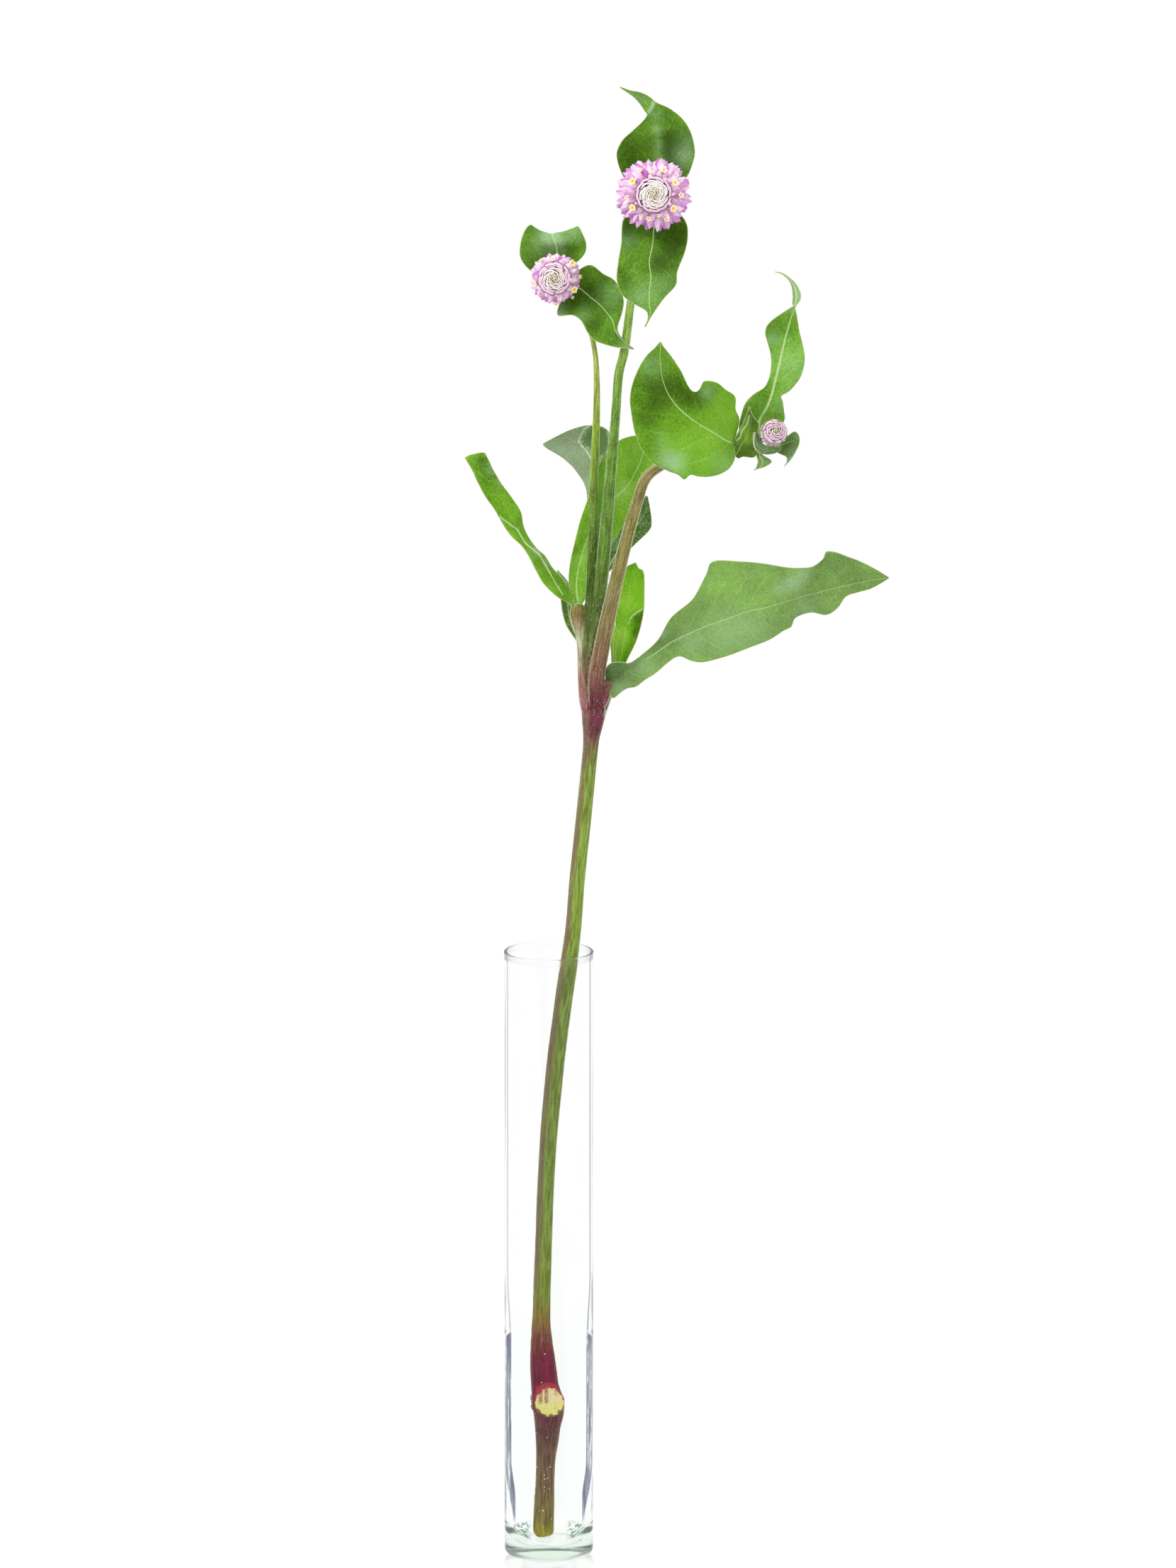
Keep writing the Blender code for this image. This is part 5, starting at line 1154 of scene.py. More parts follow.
def leaf_material(name, look):
    """Veined green blade: painted light and shade, patches of painted sheen, a pale midrib, rim and
    creases, and a duller underside.
    """
    mat, tree, shader = new_material(name)
    place = object_place(tree)
    patches = grain(tree, place, 130, 3)
    speckle = grain(tree, place, 1500, 3, 0.7)
    down_and_sheen = grain(tree, place, 1700, 3, 0.7)
    net = cells(tree, place, 1250)
    edge = reading(tree, "edge_mm")
    phase = maths(tree, "FRACT", reading(tree, "phase"))
    off_vein = maths(tree, "ABSOLUTE", minus(tree, phase, 0.5))
    vein = band(tree, times(tree, off_vein, look["vein_gap"]), 0.5, 0.06)
    vein = times(tree, vein, band(tree, edge, 0.8, 3.5))
    # The leaf's tone carries its overall lightness and its spots of painted light and shade
    tone = plus(tree, reading(tree, "tone_and_painted_light"), band(tree, patches, 0.3, 0.7, -0.22, 0.22))
    tone = plus(tree, tone, band(tree, speckle, 0.3, 0.7, -0.4, 0.4))
    tone = plus(tree, tone, times(tree, vein, 0.3))
    upper = ramp(tree, tone, -1.0, 1.5, look["greens"])
    upper = blend(tree, reading(tree, "fresh"), upper, FRESH_TINT, "MULTIPLY")
    lower = blend(tree, band(tree, patches, 0.35, 0.65), look["under"], toned(look["under"], 0.8))
    lower = blend(tree, band(tree, speckle, 0.4, 0.7, 0.0, 0.3), lower, UNDER_SPECKLE)
    # Painted shade on the underside: where the tone is dark, the under face turns dark green too
    shade = band(tree, tone, -0.1, -0.9, 0.0, 0.85)
    lower = blend(tree, shade, lower, toned(look["greens"][0], 1.3))
    blade = blend(tree, band(tree, reading(tree, "face"), 0.4, 0.6), lower, upper)
    # Patches of painted sheen, broken up by a fine grain
    painted_sheen = times(tree, reading(tree, "painted_sheen"), band(tree, down_and_sheen, 0.3, 0.7, 0.35, 0.85))
    blade = blend(tree, maths(tree, "MINIMUM", painted_sheen, 0.75), blade, LEAF_PAINTED_SHEEN)
    rib = band(tree, reading(tree, "rib"), 1.2, 0.5)
    blade = blend(tree, times(tree, rib, 0.8), blade, LEAF_MIDRIB)
    rim = times(tree, band(tree, edge, 0.5, 0.3), 0.25)
    blade = blend(tree, rim, blade, LEAF_RIM)
    # A pale line right at the margin: the fringe's own whitish hairs, and painted sheen where they catch
    # the light
    blade = blend(tree, band(tree, edge, 0.2, 0.08, 0.0, 0.5), blade, LEAF_EDGE)
    crease = band(tree, reading(tree, "crease"), 0.25, 0.95, 0.0, 0.7)
    blade = blend(tree, crease, blade, LEAF_CREASE)
    height = plus(tree, times(tree, net, 0.5), times(tree, speckle, 0.6))
    height = minus(tree, height, times(tree, vein, 0.2))
    rough = band(tree, speckle, 0.3, 0.7, 0.45, 0.65)
    surfaced(tree, shader, blade, rough, height, 0.3, 0.2)
    soft_inside(shader, 0.3, (0.5, 0.8, 0.15), 0.8)
    set_inputs(shader, {"Specular IOR Level": 0.1, "Sheen Weight": 0.02, "Sheen Roughness": 0.45})
    return mat


def stem_material():
    """Skin coloured along each stalk, with fibres, down, a sunlit side, a painted sheen along its edges
    and the pale cut face.
    """
    mat, tree, shader = new_material("stem_skin")
    place = object_place(tree)
    fibre = reading(tree, "fibre", "Vector")
    streaks = grain(tree, fibre, 1.6, 4)
    broad = grain(tree, fibre, 0.55, 2)
    speckle = grain(tree, place, 1300, 3)
    down_and_sheen = reading(tree, "down_and_sheen")
    skin = reading(tree, "tint", "Vector")
    skin = blend(tree, band(tree, streaks, 0.42, 0.68), skin, FIBRE_DARK, "MULTIPLY")
    skin = blend(tree, band(tree, streaks, 0.5, 0.3, 0.0, 0.75), skin, FIBRE_LIGHT, "MULTIPLY")
    sunny = times(tree, reading(tree, "sunny"), band(tree, broad, 0.3, 0.6, 0.5, 1.0))
    skin = blend(tree, sunny, skin, STEM_SUNNY)
    pale = times(tree, band(tree, speckle, 0.6, 0.72, 0.0, 0.3), down_and_sheen)
    skin = blend(tree, pale, skin, STEM_DOWN)
    # Painted sheen: the hairy stalks turn pale where their skin is seen edge on
    fringe = times(tree, band(tree, turned_away(tree), 0.5, 0.85, 0.0, 0.6), down_and_sheen)
    skin = blend(tree, fringe, skin, STEM_EDGE_SHEEN)
    skin = blend(tree, cut_face_share(tree, place), skin, cut_face_colour(tree, place))
    height = plus(tree, streaks, times(tree, speckle, 0.3))
    rough = band(tree, speckle, 0.3, 0.7, 0.45, 0.65)
    surfaced(tree, shader, skin, rough, height, 0.5, 0.2)
    soft_inside(shader, 0.12, (1.0, 0.8, 0.3), 0.6)
    set_inputs(shader, {"Specular IOR Level": 0.08, "Sheen Weight": 0.05, "Sheen Roughness": 0.3})
    return mat


def scar_parts(tree, place):
    """Where a point lies from the middle of the cut face: across and up it, how far from its middle,
    all as shares of its half sizes, and how far out of it in metres."""
    middle = tuple(seen(SCAR_MIDDLE))
    moved = add(tree, "ShaderNodeVectorMath", {0: place, 1: middle}, operation="SUBTRACT").outputs[0]
    parts = []
    for way in (SCAR_RIGHT, SCAR_UP, SCAR_OUT):
        made = add(tree, "ShaderNodeVectorMath", {0: moved, 1: way}, operation="DOT_PRODUCT")
        parts.append(made.outputs["Value"])
    wide = maths(tree, "DIVIDE", parts[0], SCAR_HALF_WIDTH * MM)
    tall = maths(tree, "DIVIDE", parts[1], SCAR_HALF_HEIGHT * MM)
    squares = plus(tree, times(tree, wide, wide), times(tree, tall, tall))
    return wide, tall, maths(tree, "SQRT", squares), parts[2]


def cut_face_share(tree, place):
    """One on the cut face and its ragged rim, nothing elsewhere."""
    radius, out = scar_parts(tree, place)[2:]
    return times(tree, band_mm(tree, out, -1.5, -1.1), band(tree, radius, 1.3, 1.2))


def cut_face_colour(tree, place):
    """Pale yellow pith with brown streaks in its upper left part, and a ragged red rim."""
    wide, tall, radius = scar_parts(tree, place)[:3]
    wood = grain(tree, stretched(tree, place, (1.0, 0.6, 0.25)), 900, 3)
    fine = grain(tree, place, 1800, 3)
    ragged = grain(tree, place, 420, 3)
    pith = blend(tree, band(tree, tall, -0.35, 0.3), PITH_BELOW, PITH_ABOVE)
    strips = maths(tree, "MAXIMUM", near(tree, wide, -0.62, 0.2), near(tree, wide, -0.22, 0.2))
    spot = times(tree, near(tree, wide, 0.4, 0.14), band(tree, tall, 0.35, 0.6))
    brown = times(tree, maths(tree, "MAXIMUM", strips, spot), band(tree, tall, -0.35, 0.05))
    brown = times(tree, brown, band(tree, wood, 0.3, 0.5, 0.5, 0.95))
    pith = blend(tree, brown, pith, PITH_STREAK)
    pith = blend(tree, band(tree, fine, 0.45, 0.65, 0.0, 0.5), pith, PITH_PALE)
    pith = blend(tree, band(tree, ragged, 0.55, 0.7, 0.0, 0.5), pith, PITH_OLIVE)
    red = blend(tree, band(tree, tall, -0.4, 0.2), RIM_BELOW, RIM_ABOVE)
    uneven = plus(tree, radius, band(tree, ragged, 0.3, 0.7, -0.1, 0.1))
    return blend(tree, band(tree, uneven, 0.9, 0.97), pith, red)


def bract_material(name, pale, deep, base, heart):
    """Papery bracts, deeper at the tip; the rosette's scales go from painted shadow in the gaps to cream
    edges.
    """
    mat, tree, shader = new_material(name)
    place = object_place(tree)
    tip = reading(tree, "tip")
    inner = reading(tree, "inner")
    tone = reading(tree, "tone")
    fine = grain(tree, place, 1500, 3)
    share = plus(tree, times(tree, tip, 0.5), times(tree, tone, 0.6))
    share = plus(tree, share, times(tree, fine, 0.3))
    papery = blend(tree, band(tree, share, 0.3, 1.15), pale, deep)
    papery = blend(tree, band(tree, tip, 0.45, 0.1, 0.0, 0.8), papery, base)
    # Rosette scales: near black brown low down, painted shadow in the gaps between them, then cream at
    # the upper edge
    cream = blend(tree, band(tree, tip, 0.36, 0.46), (0.12, 0.065, 0.05), (0.6, 0.48, 0.42))
    cream = blend(tree, band(tree, tip, 0.46, 0.62), cream, toned(HEART_CREAM, heart))
    cream = blend(tree, band(tree, inner, 1.1, 1.8), cream, (0.9, 0.93, 0.74), "MULTIPLY")
    # Faded scales: dark purple low down, the same painted shadow, then rose
    faded = blend(tree, band(tree, tip, 0.3, 0.42), (0.24, 0.1, 0.14), (0.6, 0.38, 0.52))
    faded = blend(tree, band(tree, tip, 0.42, 0.7), faded, toned(HEART_ROSE, heart))
    colour = blend(tree, band(tree, inner, 0.1, 0.4), papery, faded)
    colour = blend(tree, band(tree, inner, 0.6, 0.9), colour, cream)
    colour = blend(tree, band(tree, fine, 0.55, 0.75, 0.0, 0.3), colour, (0.95, 0.88, 0.95))
    surfaced(tree, shader, colour, band(tree, fine, 0.3, 0.7, 0.4, 0.6), fine, 0.3, 0.15)
    soft_inside(shader, 0.15, (0.9, 0.6, 0.8), 0.15)
    set_inputs(shader, {"Specular IOR Level": 0.2})
    return mat


def floret_material():
    """Yellow florets with pale tips; the faded ones are dull."""
    mat, tree, shader = new_material("floret_yellow")
    place = object_place(tree)
    tip = reading(tree, "tip")
    fine = grain(tree, place, 2500, 2)
    bright = blend(tree, band(tree, tip, 0.1, 0.4), (0.9, 0.5, 0.05), (0.98, 0.78, 0.22))
    bright = blend(tree, band(tree, tip, 0.45, 0.8), bright, (0.98, 0.92, 0.62))
    dull = blend(tree, band(tree, tip, 0.1, 0.5), (0.8, 0.48, 0.2), (0.97, 0.9, 0.74))
    colour = blend(tree, reading(tree, "faded"), bright, dull)
    colour = blend(tree, band(tree, fine, 0.5, 0.8, 0.0, 0.3), colour, (0.98, 0.78, 0.4))
    surfaced(tree, shader, colour, band(tree, fine, 0.3, 0.7, 0.35, 0.55), fine, 0.3, 0.1)
    soft_inside(shader, 0.3, (0.8, 0.6, 0.2), 0.4)
    return mat


def hair_material():
    """Whitish hairs that let light through."""
    mat, tree, shader = new_material("plant_hair")
    fine = grain(tree, object_place(tree), 800, 2)
    colour = blend(tree, fine, (0.75, 0.78, 0.66), (0.92, 0.92, 0.88))
    surfaced(tree, shader, colour, band(tree, fine, 0.3, 0.7, 0.3, 0.5), fine, 0.2, 0.02)
    soft_inside(shader, 0.3, (0.5, 0.5, 0.4), 0.3)
    return mat


def painted_refraction_band_share(tree, height, turned):
    """Where bands of painted refraction shade lie, near both edges of the glass where there is water
    inside, by how far the wall turns away.
    """
    starts = band_mm(tree, height, 35, 22, 0.48, 0.36)
    ends = band_mm(tree, height, 34, 14, 0.83, 0.43)
    ends = minus(tree, ends, band_mm(tree, height, WATER_LEVEL - 2.5, WATER_LEVEL + 1.5, 0.0, 0.3))
    tall = band_mm(tree, height, WATER_LEVEL + 1.7, WATER_LEVEL + 0.5)
    tall = times(tree, tall, band_mm(tree, height, 12, 16))
    inside = band(tree, minus(tree, turned, starts), -0.012, 0.012)
    outside = band(tree, minus(tree, ends, turned), -0.02, 0.03)
    return times(tree, tall, times(tree, inside, outside))


def painted_refraction_band_colour(tree, place, height, ripples):
    """Painted refraction shade: dark blue grey, darker just under the water's surface, with bright
    upright streaks of painted highlight.
    """
    flecks = grain(tree, place, 260, 2)
    grey = blend(tree, band(tree, ripples, 0.42, 0.5), (0.035, 0.038, 0.085), (0.11, 0.115, 0.17))
    grey = blend(tree, band_mm(tree, height, 71, 77), grey, (0.5, 0.48, 0.55), "MULTIPLY")
    streak = times(tree, band(tree, ripples, 0.53, 0.6), band(tree, flecks, 0.45, 0.55, 0.25, 1.0))
    return blend(tree, streak, grey, (0.8, 0.82, 0.9))


def painted_edge_line_share(tree, height, turned):
    """A soft line of painted refraction shade down each edge of the glass above the water."""
    line_at = band_mm(tree, height, TAPER_LOW, TAPER_TOP, 0.53, 0.65)
    above = band_mm(tree, height, WATER_LEVEL - 0.5, WATER_LEVEL + 2.5)
    return times(tree, near(tree, turned, line_at, 0.05), above)


def painted_heel_sparkle(tree, place, right, height):
    """Green specks low in the thick glass, at its left and right: painted refraction sparkle of the heel.
    """
    heel = times(tree, band_mm(tree, height, 9.8, 8.2), band_mm(tree, height, 4.2, 4.8))
    heel = times(tree, heel, band_mm(tree, maths(tree, "ABSOLUTE", right), 5, 8))
    return times(tree, heel, band(tree, grain(tree, place, 620, 3), 0.45, 0.52))


def glass_material():
    """Clear glass, a little green where it is thick, with painted refraction shade at its edges, darkest
    where there is water inside, and painted sparkle low in its heel.
    """
    mat, tree, shader = new_material("vase_glass")
    place = object_place(tree)
    parts = add(tree, "ShaderNodeSeparateXYZ", {0: place}).outputs
    right, height = parts[0], parts[2]
    flat = stretched(tree, place, (1.0, 1.0, 0.0))
    radius = add(tree, "ShaderNodeVectorMath", {0: flat}, operation="LENGTH").outputs["Value"]
    outer = maths(tree, "GREATER_THAN", radius, (VASE_RADIUS - 0.4) * MM)
    turned = turned_away(tree)
    ripples = grain(tree, stretched(tree, place, (1.0, 1.0, 0.09)), 520, 3)
    # Painted refraction shade for the edge line, darker on the right
    line = blend(tree, band_mm(tree, right, 0, 10), (0.4, 0.34, 0.44), (0.2, 0.18, 0.26))
    edge_line_shade = times(tree, painted_edge_line_share(tree, height, turned), outer)
    colour = blend(tree, edge_line_shade, (1.0, 1.0, 1.0), line)
    # Painted refraction shade in bands at the edges below the water
    refraction_bands = times(tree, painted_refraction_band_share(tree, height, turned), outer)
    colour = blend(tree, refraction_bands, colour, painted_refraction_band_colour(tree, place, height, ripples))
    # Painted refraction sparkle, dark green, low in the heel
    heel_sparkle = times(tree, painted_heel_sparkle(tree, place, right, height), minus(tree, 1.0, outer))
    colour = blend(tree, heel_sparkle, colour, (0.04, 0.15, 0.06))
    ends = maths(tree, "MAXIMUM", band_mm(tree, height, 3.5, 2.5), band_mm(tree, height, 206.5, 208))
    rough = times(tree, times(tree, ends, band_mm(tree, radius, 9, 11)), 0.3)
    rough = plus(tree, rough, band(tree, ripples, 0.3, 0.7, 0.0, 0.015))
    surfaced(tree, shader, colour, rough, ripples, 0.05, 0.3)
    set_inputs(shader, {"Transmission Weight": 1.0, "IOR": GLASS_BEND})
    absorb = add(tree, "ShaderNodeVolumeAbsorption", {"Color": (0.5, 0.88, 0.58, 1.0), "Density": 13.0})
    tree.links.new(absorb.outputs[0], tree.nodes["Material Output"].inputs["Volume"])
    return mat


def water_material():
    """Still water; it bends light so little that the stem looks whole through it, as in the picture."""
    mat, tree, shader = new_material("water_clear")
    ripples = grain(tree, object_place(tree), 150, 2)
    colour = blend(tree, band(tree, ripples, 0.4, 0.7), (1.0, 1.0, 1.0), (0.985, 0.99, 1.0))
    surfaced(tree, shader, colour, band(tree, ripples, 0.3, 0.7, 0.0, 0.01), ripples, 0.02, 0.2)
    set_inputs(shader, {"Transmission Weight": 1.0, "IOR": WATER_BEND})
    return mat


def bubble_material():
    """Opaque silvery white of an air bubble: its shine as a painted reflection."""
    mat, tree, shader = new_material("air_bubble")
    ripples = grain(tree, object_place(tree), 900, 2)
    colour = blend(tree, ripples, (0.85, 0.88, 0.8), (1.0, 1.0, 1.0))
    surfaced(tree, shader, colour, band(tree, ripples, 0.3, 0.7, 0.0, 0.02), ripples, 0.02, 0.05)
    return mat


def leaned(stations, side, lean):
    """A leaf's stations, drifted with its side and leaning back more with distance from its base."""
    base = np.array(stations[0][1], float)
    moved = drifted(stations, side)
    moved[..., 2] += lean * np.hypot(moved[..., 0] - base[0], moved[..., 1] - base[1])
    return moved


def rooted(stations):
    """The stations after one more, drawn in and narrowed, so that the leaf starts inside its stalk."""
    first, second = stations[0], stations[1]
    back = first[1] - second[1]
    back = back / np.linalg.norm(back) * ROOT_REACH
    inner = first[1] + back + (first - first[1]) * 0.6
    return np.concatenate([inner[None], stations])


def even_places(stations, step_mm):
    """Places along a leaf so that its rows lie at even steps."""
    last = len(stations) - 1
    dense = np.linspace(0, last, 40 * last + 1)
    travel = np.zeros(len(dense))
    for column in range(3):
        travel += travelled(seen(catmull(stations[:, column], dense)) / MM) / 3
    rows = max(12, round(travel[-1] / step_mm))
    return np.interp(np.linspace(0, travel[-1], rows + 1), travel, dense)


def leaf_grid(stations):
    """Mid-surface of a leaf, with how far across it each point lies and the half widths of its rows."""
    places = even_places(stations, CELL_MM)
    left, rib, right = (catmull(stations[:, column], places) for column in range(3))
    half_left = np.linalg.norm(seen(left) - seen(rib), axis=1) / MM
    half_right = np.linalg.norm(seen(right) - seen(rib), axis=1) / MM
    columns = 2 * max(4, round((half_left + half_right).max() / CELL_MM / 2))
    across = np.linspace(-1, 1, columns + 1)[None, :, None]
    bend = CROSS_ROUNDNESS * across ** 2 + (1 - CROSS_ROUNDNESS) * np.abs(across)
    left, rib, right = left[:, None], rib[:, None], right[:, None]
    layout = rib + across * (right - left) / 2 + bend * ((left + right) / 2 - rib)
    half = np.where(across[..., 0] < 0, half_left[:, None], half_right[:, None])
    return seen(layout), np.broadcast_to(across[..., 0], half.shape), half


def spots(grid, places):
    """Sum of soft round spots, each (right, up, size, strength) as the eye sees them."""
    total = np.zeros(grid.shape[:-1])
    for right, up, size, strength in places:
        far = np.hypot(grid[..., 0] / MM - right, screen_up(grid) - up)
        total += strength * np.exp(-(far / size) ** 2)
    return total


def near_line(grid, corners):
    """One on the line through corners, each (right, up) as the eye sees them, and nothing beside it."""
    total = np.zeros(grid.shape[:-1])
    spot = np.stack([grid[..., 0] / MM, screen_up(grid)], axis=-1)
    for start, end in zip(corners, corners[1:]):
        start, way = np.array(start), np.subtract(end, start)
        share = np.clip((spot - start) @ way / (way @ way), 0, 1)
        far = np.linalg.norm(spot - start - share[..., None] * way, axis=-1)
        total = np.maximum(total, np.exp(-(far / CREASE_WIDTH) ** 2))
    return total


def vein_phase(grid, travel, off_rib, reach, vein_gap):
    """Rises by one from each side vein to the next; the veins sweep forward and waver a little."""
    away = np.abs(off_rib)
    phase = (travel - 0.75 * away - 0.35 * away ** 2 / reach) / vein_gap
    return phase + 0.22 * np.tanh(off_rib / 2) + 0.25 * noise_at(grid, 9, 3.1)


def rib_half_width(name, along):
    """Half width of the pale midrib, in millimetres, which thins towards the tip."""
    half = RIB_SHARES.get(name, 1.0) * (0.12 + 0.26 * (1 - along) ** 1.5)
    return half * np.clip((along - RIB_STARTS.get(name, -1.0)) / 0.06, 0.02, 1)


def blade_relief(grid, phase, away, edge_mm, vein_gap):
    """How far the blade stands out, in millimetres: soft waves, and sunken veins and midrib."""
    vein_near = np.abs(phase - np.floor(phase) - 0.5) * vein_gap
    relief = 0.28 * noise_at(grid, 5.5, 7.7) + 0.1 * noise_at(grid, 2.2, 1.3)
    relief = relief - 0.04 * np.exp(-(vein_near / 0.5) ** 2) - 0.12 * np.exp(-(away / 0.5) ** 2)
    return relief * np.clip(edge_mm / 2.0, 0, 1)


def build_leaf(name, stations, tone, mat, vein_gap):
    """A thin curved blade with its veins, relief and midrib; also returns its upper face."""
    grid, across, half = leaf_grid(stations)
    rows, columns = across.shape
    travel = travelled(grid[:, columns // 2])[:, None] / MM
    along = np.broadcast_to(travel / travel[-1], across.shape)
    away = np.abs(across * half)
    edge_mm = (1 - np.abs(across)) * half
    phase = vein_phase(grid, travel, across * half, half.max(), vein_gap)
    values = {
        "rib": away / rib_half_width(name, along),
        "edge_mm": edge_mm,
        "phase": phase,
        # Overall tone plus the spots of painted light and shade
        "tone_and_painted_light": tone + spots(grid, PAINTED_LIGHT_AND_SHADE.get(name, [])),
        # Where the painted sheen lies
        "painted_sheen": spots(grid, PAINTED_SHEEN_SPOTS.get(name, [])),
        "crease": near_line(grid, CREASES.get(name, [])),
        "fresh": np.full(across.shape, FRESH.get(name, 0.0)),
    }
    both = {key: np.tile(value.ravel(), 2) for key, value in values.items()}
    both["face"] = np.repeat([1.0, 0.0], rows * columns)
    front = grid_normals(grid)
    grid = grid + front * blade_relief(grid, phase, away, edge_mm, vein_gap)[..., None] * MM
    thick = HALF_BLADE * (1 - 0.65 * np.abs(across) ** 6)
    ridge = 0.42 * np.exp(-(away / 0.5) ** 2) * (1 - along) ** 0.8
    upper = grid + front * thick[..., None] * MM
    lower = grid - front * (thick + ridge)[..., None] * MM
    pile = Pile()
    points = np.concatenate([upper.reshape(-1, 3), lower.reshape(-1, 3)])
    pile.add(points, sheet_faces(rows, columns), **both)
    return pile.build(name + "_blade", mat), upper


def stem_routes():
    """All grown routes by name; each branch drifts with its side of the plant."""
    routes = {"main": np.array(MAIN_STEM, float)}
    for name, route in BRANCHES.items():
        routes[name] = drifted(route, BRANCH_SIDES.get(name, "low"))
    return routes


def tints_along(name, ups):
    """Colours of a route's skin at these heights."""
    known = [up for up, tint in STEM_TINTS[name]]
    parts = [[tint[k] for up, tint in STEM_TINTS[name]] for k in range(3)]
    return np.stack([np.interp(ups, known, part) for part in parts], axis=1)


def build_stem(mat):
    """One grown skin over the main stem, the fork and all stalks, and the places along their routes."""
    pile = Pile()
    places = []
    for name, route in stem_routes().items():
        rings, centres, ways, samples = tube_rings(route, STEM_SIDES, STEM_STEP)
        pile.add(rings, tube_faces(len(rings), STEM_SIDES))
        tints = tints_along(name, samples[:, 1])
        for centre, way, sample, tint in zip(centres, ways, samples, tints):
            places.append(RoutePlace(centre, way, sample[3] / 2, sample[1], tint, name))
    made = pile.build("stem_skin", mat)
    remesh = made.modifiers.new("Remesh", "REMESH")
    remesh.mode = "VOXEL"
    remesh.voxel_size = STEM_VOXEL * MM
    applied(made)
    smooth = made.modifiers.new("Smooth", "SMOOTH")
    smooth.factor = 0.5
    smooth.iterations = 6
    applied(made)
    paint_stem(made.data, places)
    made.data.shade_smooth()
    return made, places


def nearest_place(tree, places, point):
    """The place whose skin a point lies on, and the colours of the places round it, mixed."""
    best, best_share = None, math.inf
    weights, mixed = 0.0, np.zeros(3)
    for _, index, far in tree.find_n(point, 10):
        place = places[index]
        share = far / (place.radius * MM)
        weight = math.exp(-(share / 0.35) ** 2)
        weights += weight
        mixed += weight * place.tint
        if share < best_share:
            best, best_share = place, share
    return best, mixed / weights


def clipped(value):
    """The value, kept between 0 and 1."""
    return max(0.0, min(1.0, value))


def paint_stem(mesh, places):
    """Gives each point of the skin its colour and its place on the fibres, and raises the ribs."""
    tree = KDTree(len(places))
    for index, place in enumerate(places):
        tree.insert(Vector(place.centre), index)
    tree.balance()
    total = len(mesh.vertices)
    tints, fibres, moved = np.zeros((total, 3)), np.zeros((total, 3)), np.zeros((total, 3))
    sunny, down_and_sheen = np.zeros(total), np.zeros(total)
    for index, vert in enumerate(mesh.vertices):
        place, tints[index] = nearest_place(tree, places, vert.co)
        way = place.way
        out = np.array(vert.co) - place.centre
        out = out - way * out.dot(way)
        side = unit(np.array([1.0, 0, 0]) - way * way[0])
        angle = math.atan2(out.dot(np.cross(way, side)), out.dot(side))
        radius = place.radius
        fibres[index] = (radius * math.cos(angle), radius * math.sin(angle), place.up * 0.1)
        if place.route == "main":
            sunny[index] = 0.85 * clipped((-math.cos(angle) - 0.15) / 0.4)
            sunny[index] *= clipped((place.up - WATER_LEVEL) / 20)
            down_and_sheen[index] = 0.6
        else:
            down_and_sheen[index] = 0.0 if place.route in ("cut_side_shoot", "torn_rim") else 1.0
        ribs = max(7, round(radius * 5.5))
        wave = math.cos(ribs * angle + 1.5 * math.sin(place.up / 23))
        moved[index] = unit(out) * RIB_DEPTH * MM * wave * min(1.0, radius / 2)
    points = np.zeros(total * 3)
    mesh.vertices.foreach_get("co", points)
    mesh.vertices.foreach_set("co", (points.reshape(-1, 3) + moved).ravel())
    for name, values in (("tint", tints), ("fibre", fibres), ("sunny", sunny), ("down_and_sheen", down_and_sheen)):
        hold_values(mesh, name, values)
    mesh.update()


def grow_hairs(pile, roots, ways, lengths, radius, rng):
    """Fine tapered hairs, bent a little at their middle; lengths and radius in millimetres."""
    roots, ways = np.asarray(roots, float), unit(np.asarray(ways, float))
    lengths = np.asarray(lengths, float)[:, None] * MM
    side = unit(np.cross(ways, rng.normal(size=ways.shape)))
    other = np.cross(ways, side)
    base = roots - ways * 0.1 * MM
    middle = roots + ways * lengths * 0.5 + side * lengths * 0.12
    rings = []
    for centre, share in ((base, 1.0), (middle, 0.7)):
        for turn in (0.0, math.tau / 3, math.tau * 2 / 3):
            outward = side * math.cos(turn) + other * math.sin(turn)
            rings.append(centre + outward * radius * share * MM)
    rings.append(roots + ways * lengths)
    points = np.stack(rings, axis=1)
    shape = [(0, 1, 4, 3), (1, 2, 5, 4), (2, 0, 3, 5), (3, 4, 6), (4, 5, 6), (5, 3, 6), (2, 1, 0)]
    faces = []
    for index in range(len(roots)):
        faces += [[7 * index + corner for corner in face] for face in shape]
    pile.add(points, faces)


def place_hairs(pile, picked, length, spread, rng):
    """Hairs on the skin round these places, which lean out from the stalk by up to the spread."""
    centres = np.array([place.centre for place in picked])
    ways = np.array([place.way for place in picked])
    radii = np.array([place.radius for place in picked])[:, None]
    outward = rng.normal(size=centres.shape)
    outward = unit(outward - ways * (outward * ways).sum(1, keepdims=True))
    roots = centres + outward * radii * MM + ways * rng.uniform(-0.6, 0.6, (len(picked), 1)) * MM
    aim = ways + outward * rng.uniform(0.1, spread, (len(picked), 1))
    aim = aim + 0.25 * rng.normal(size=centres.shape)
    grow_hairs(pile, roots, aim, length * rng.uniform(0.5, 1.2, len(picked)), STEM_HAIR_RADIUS, rng)


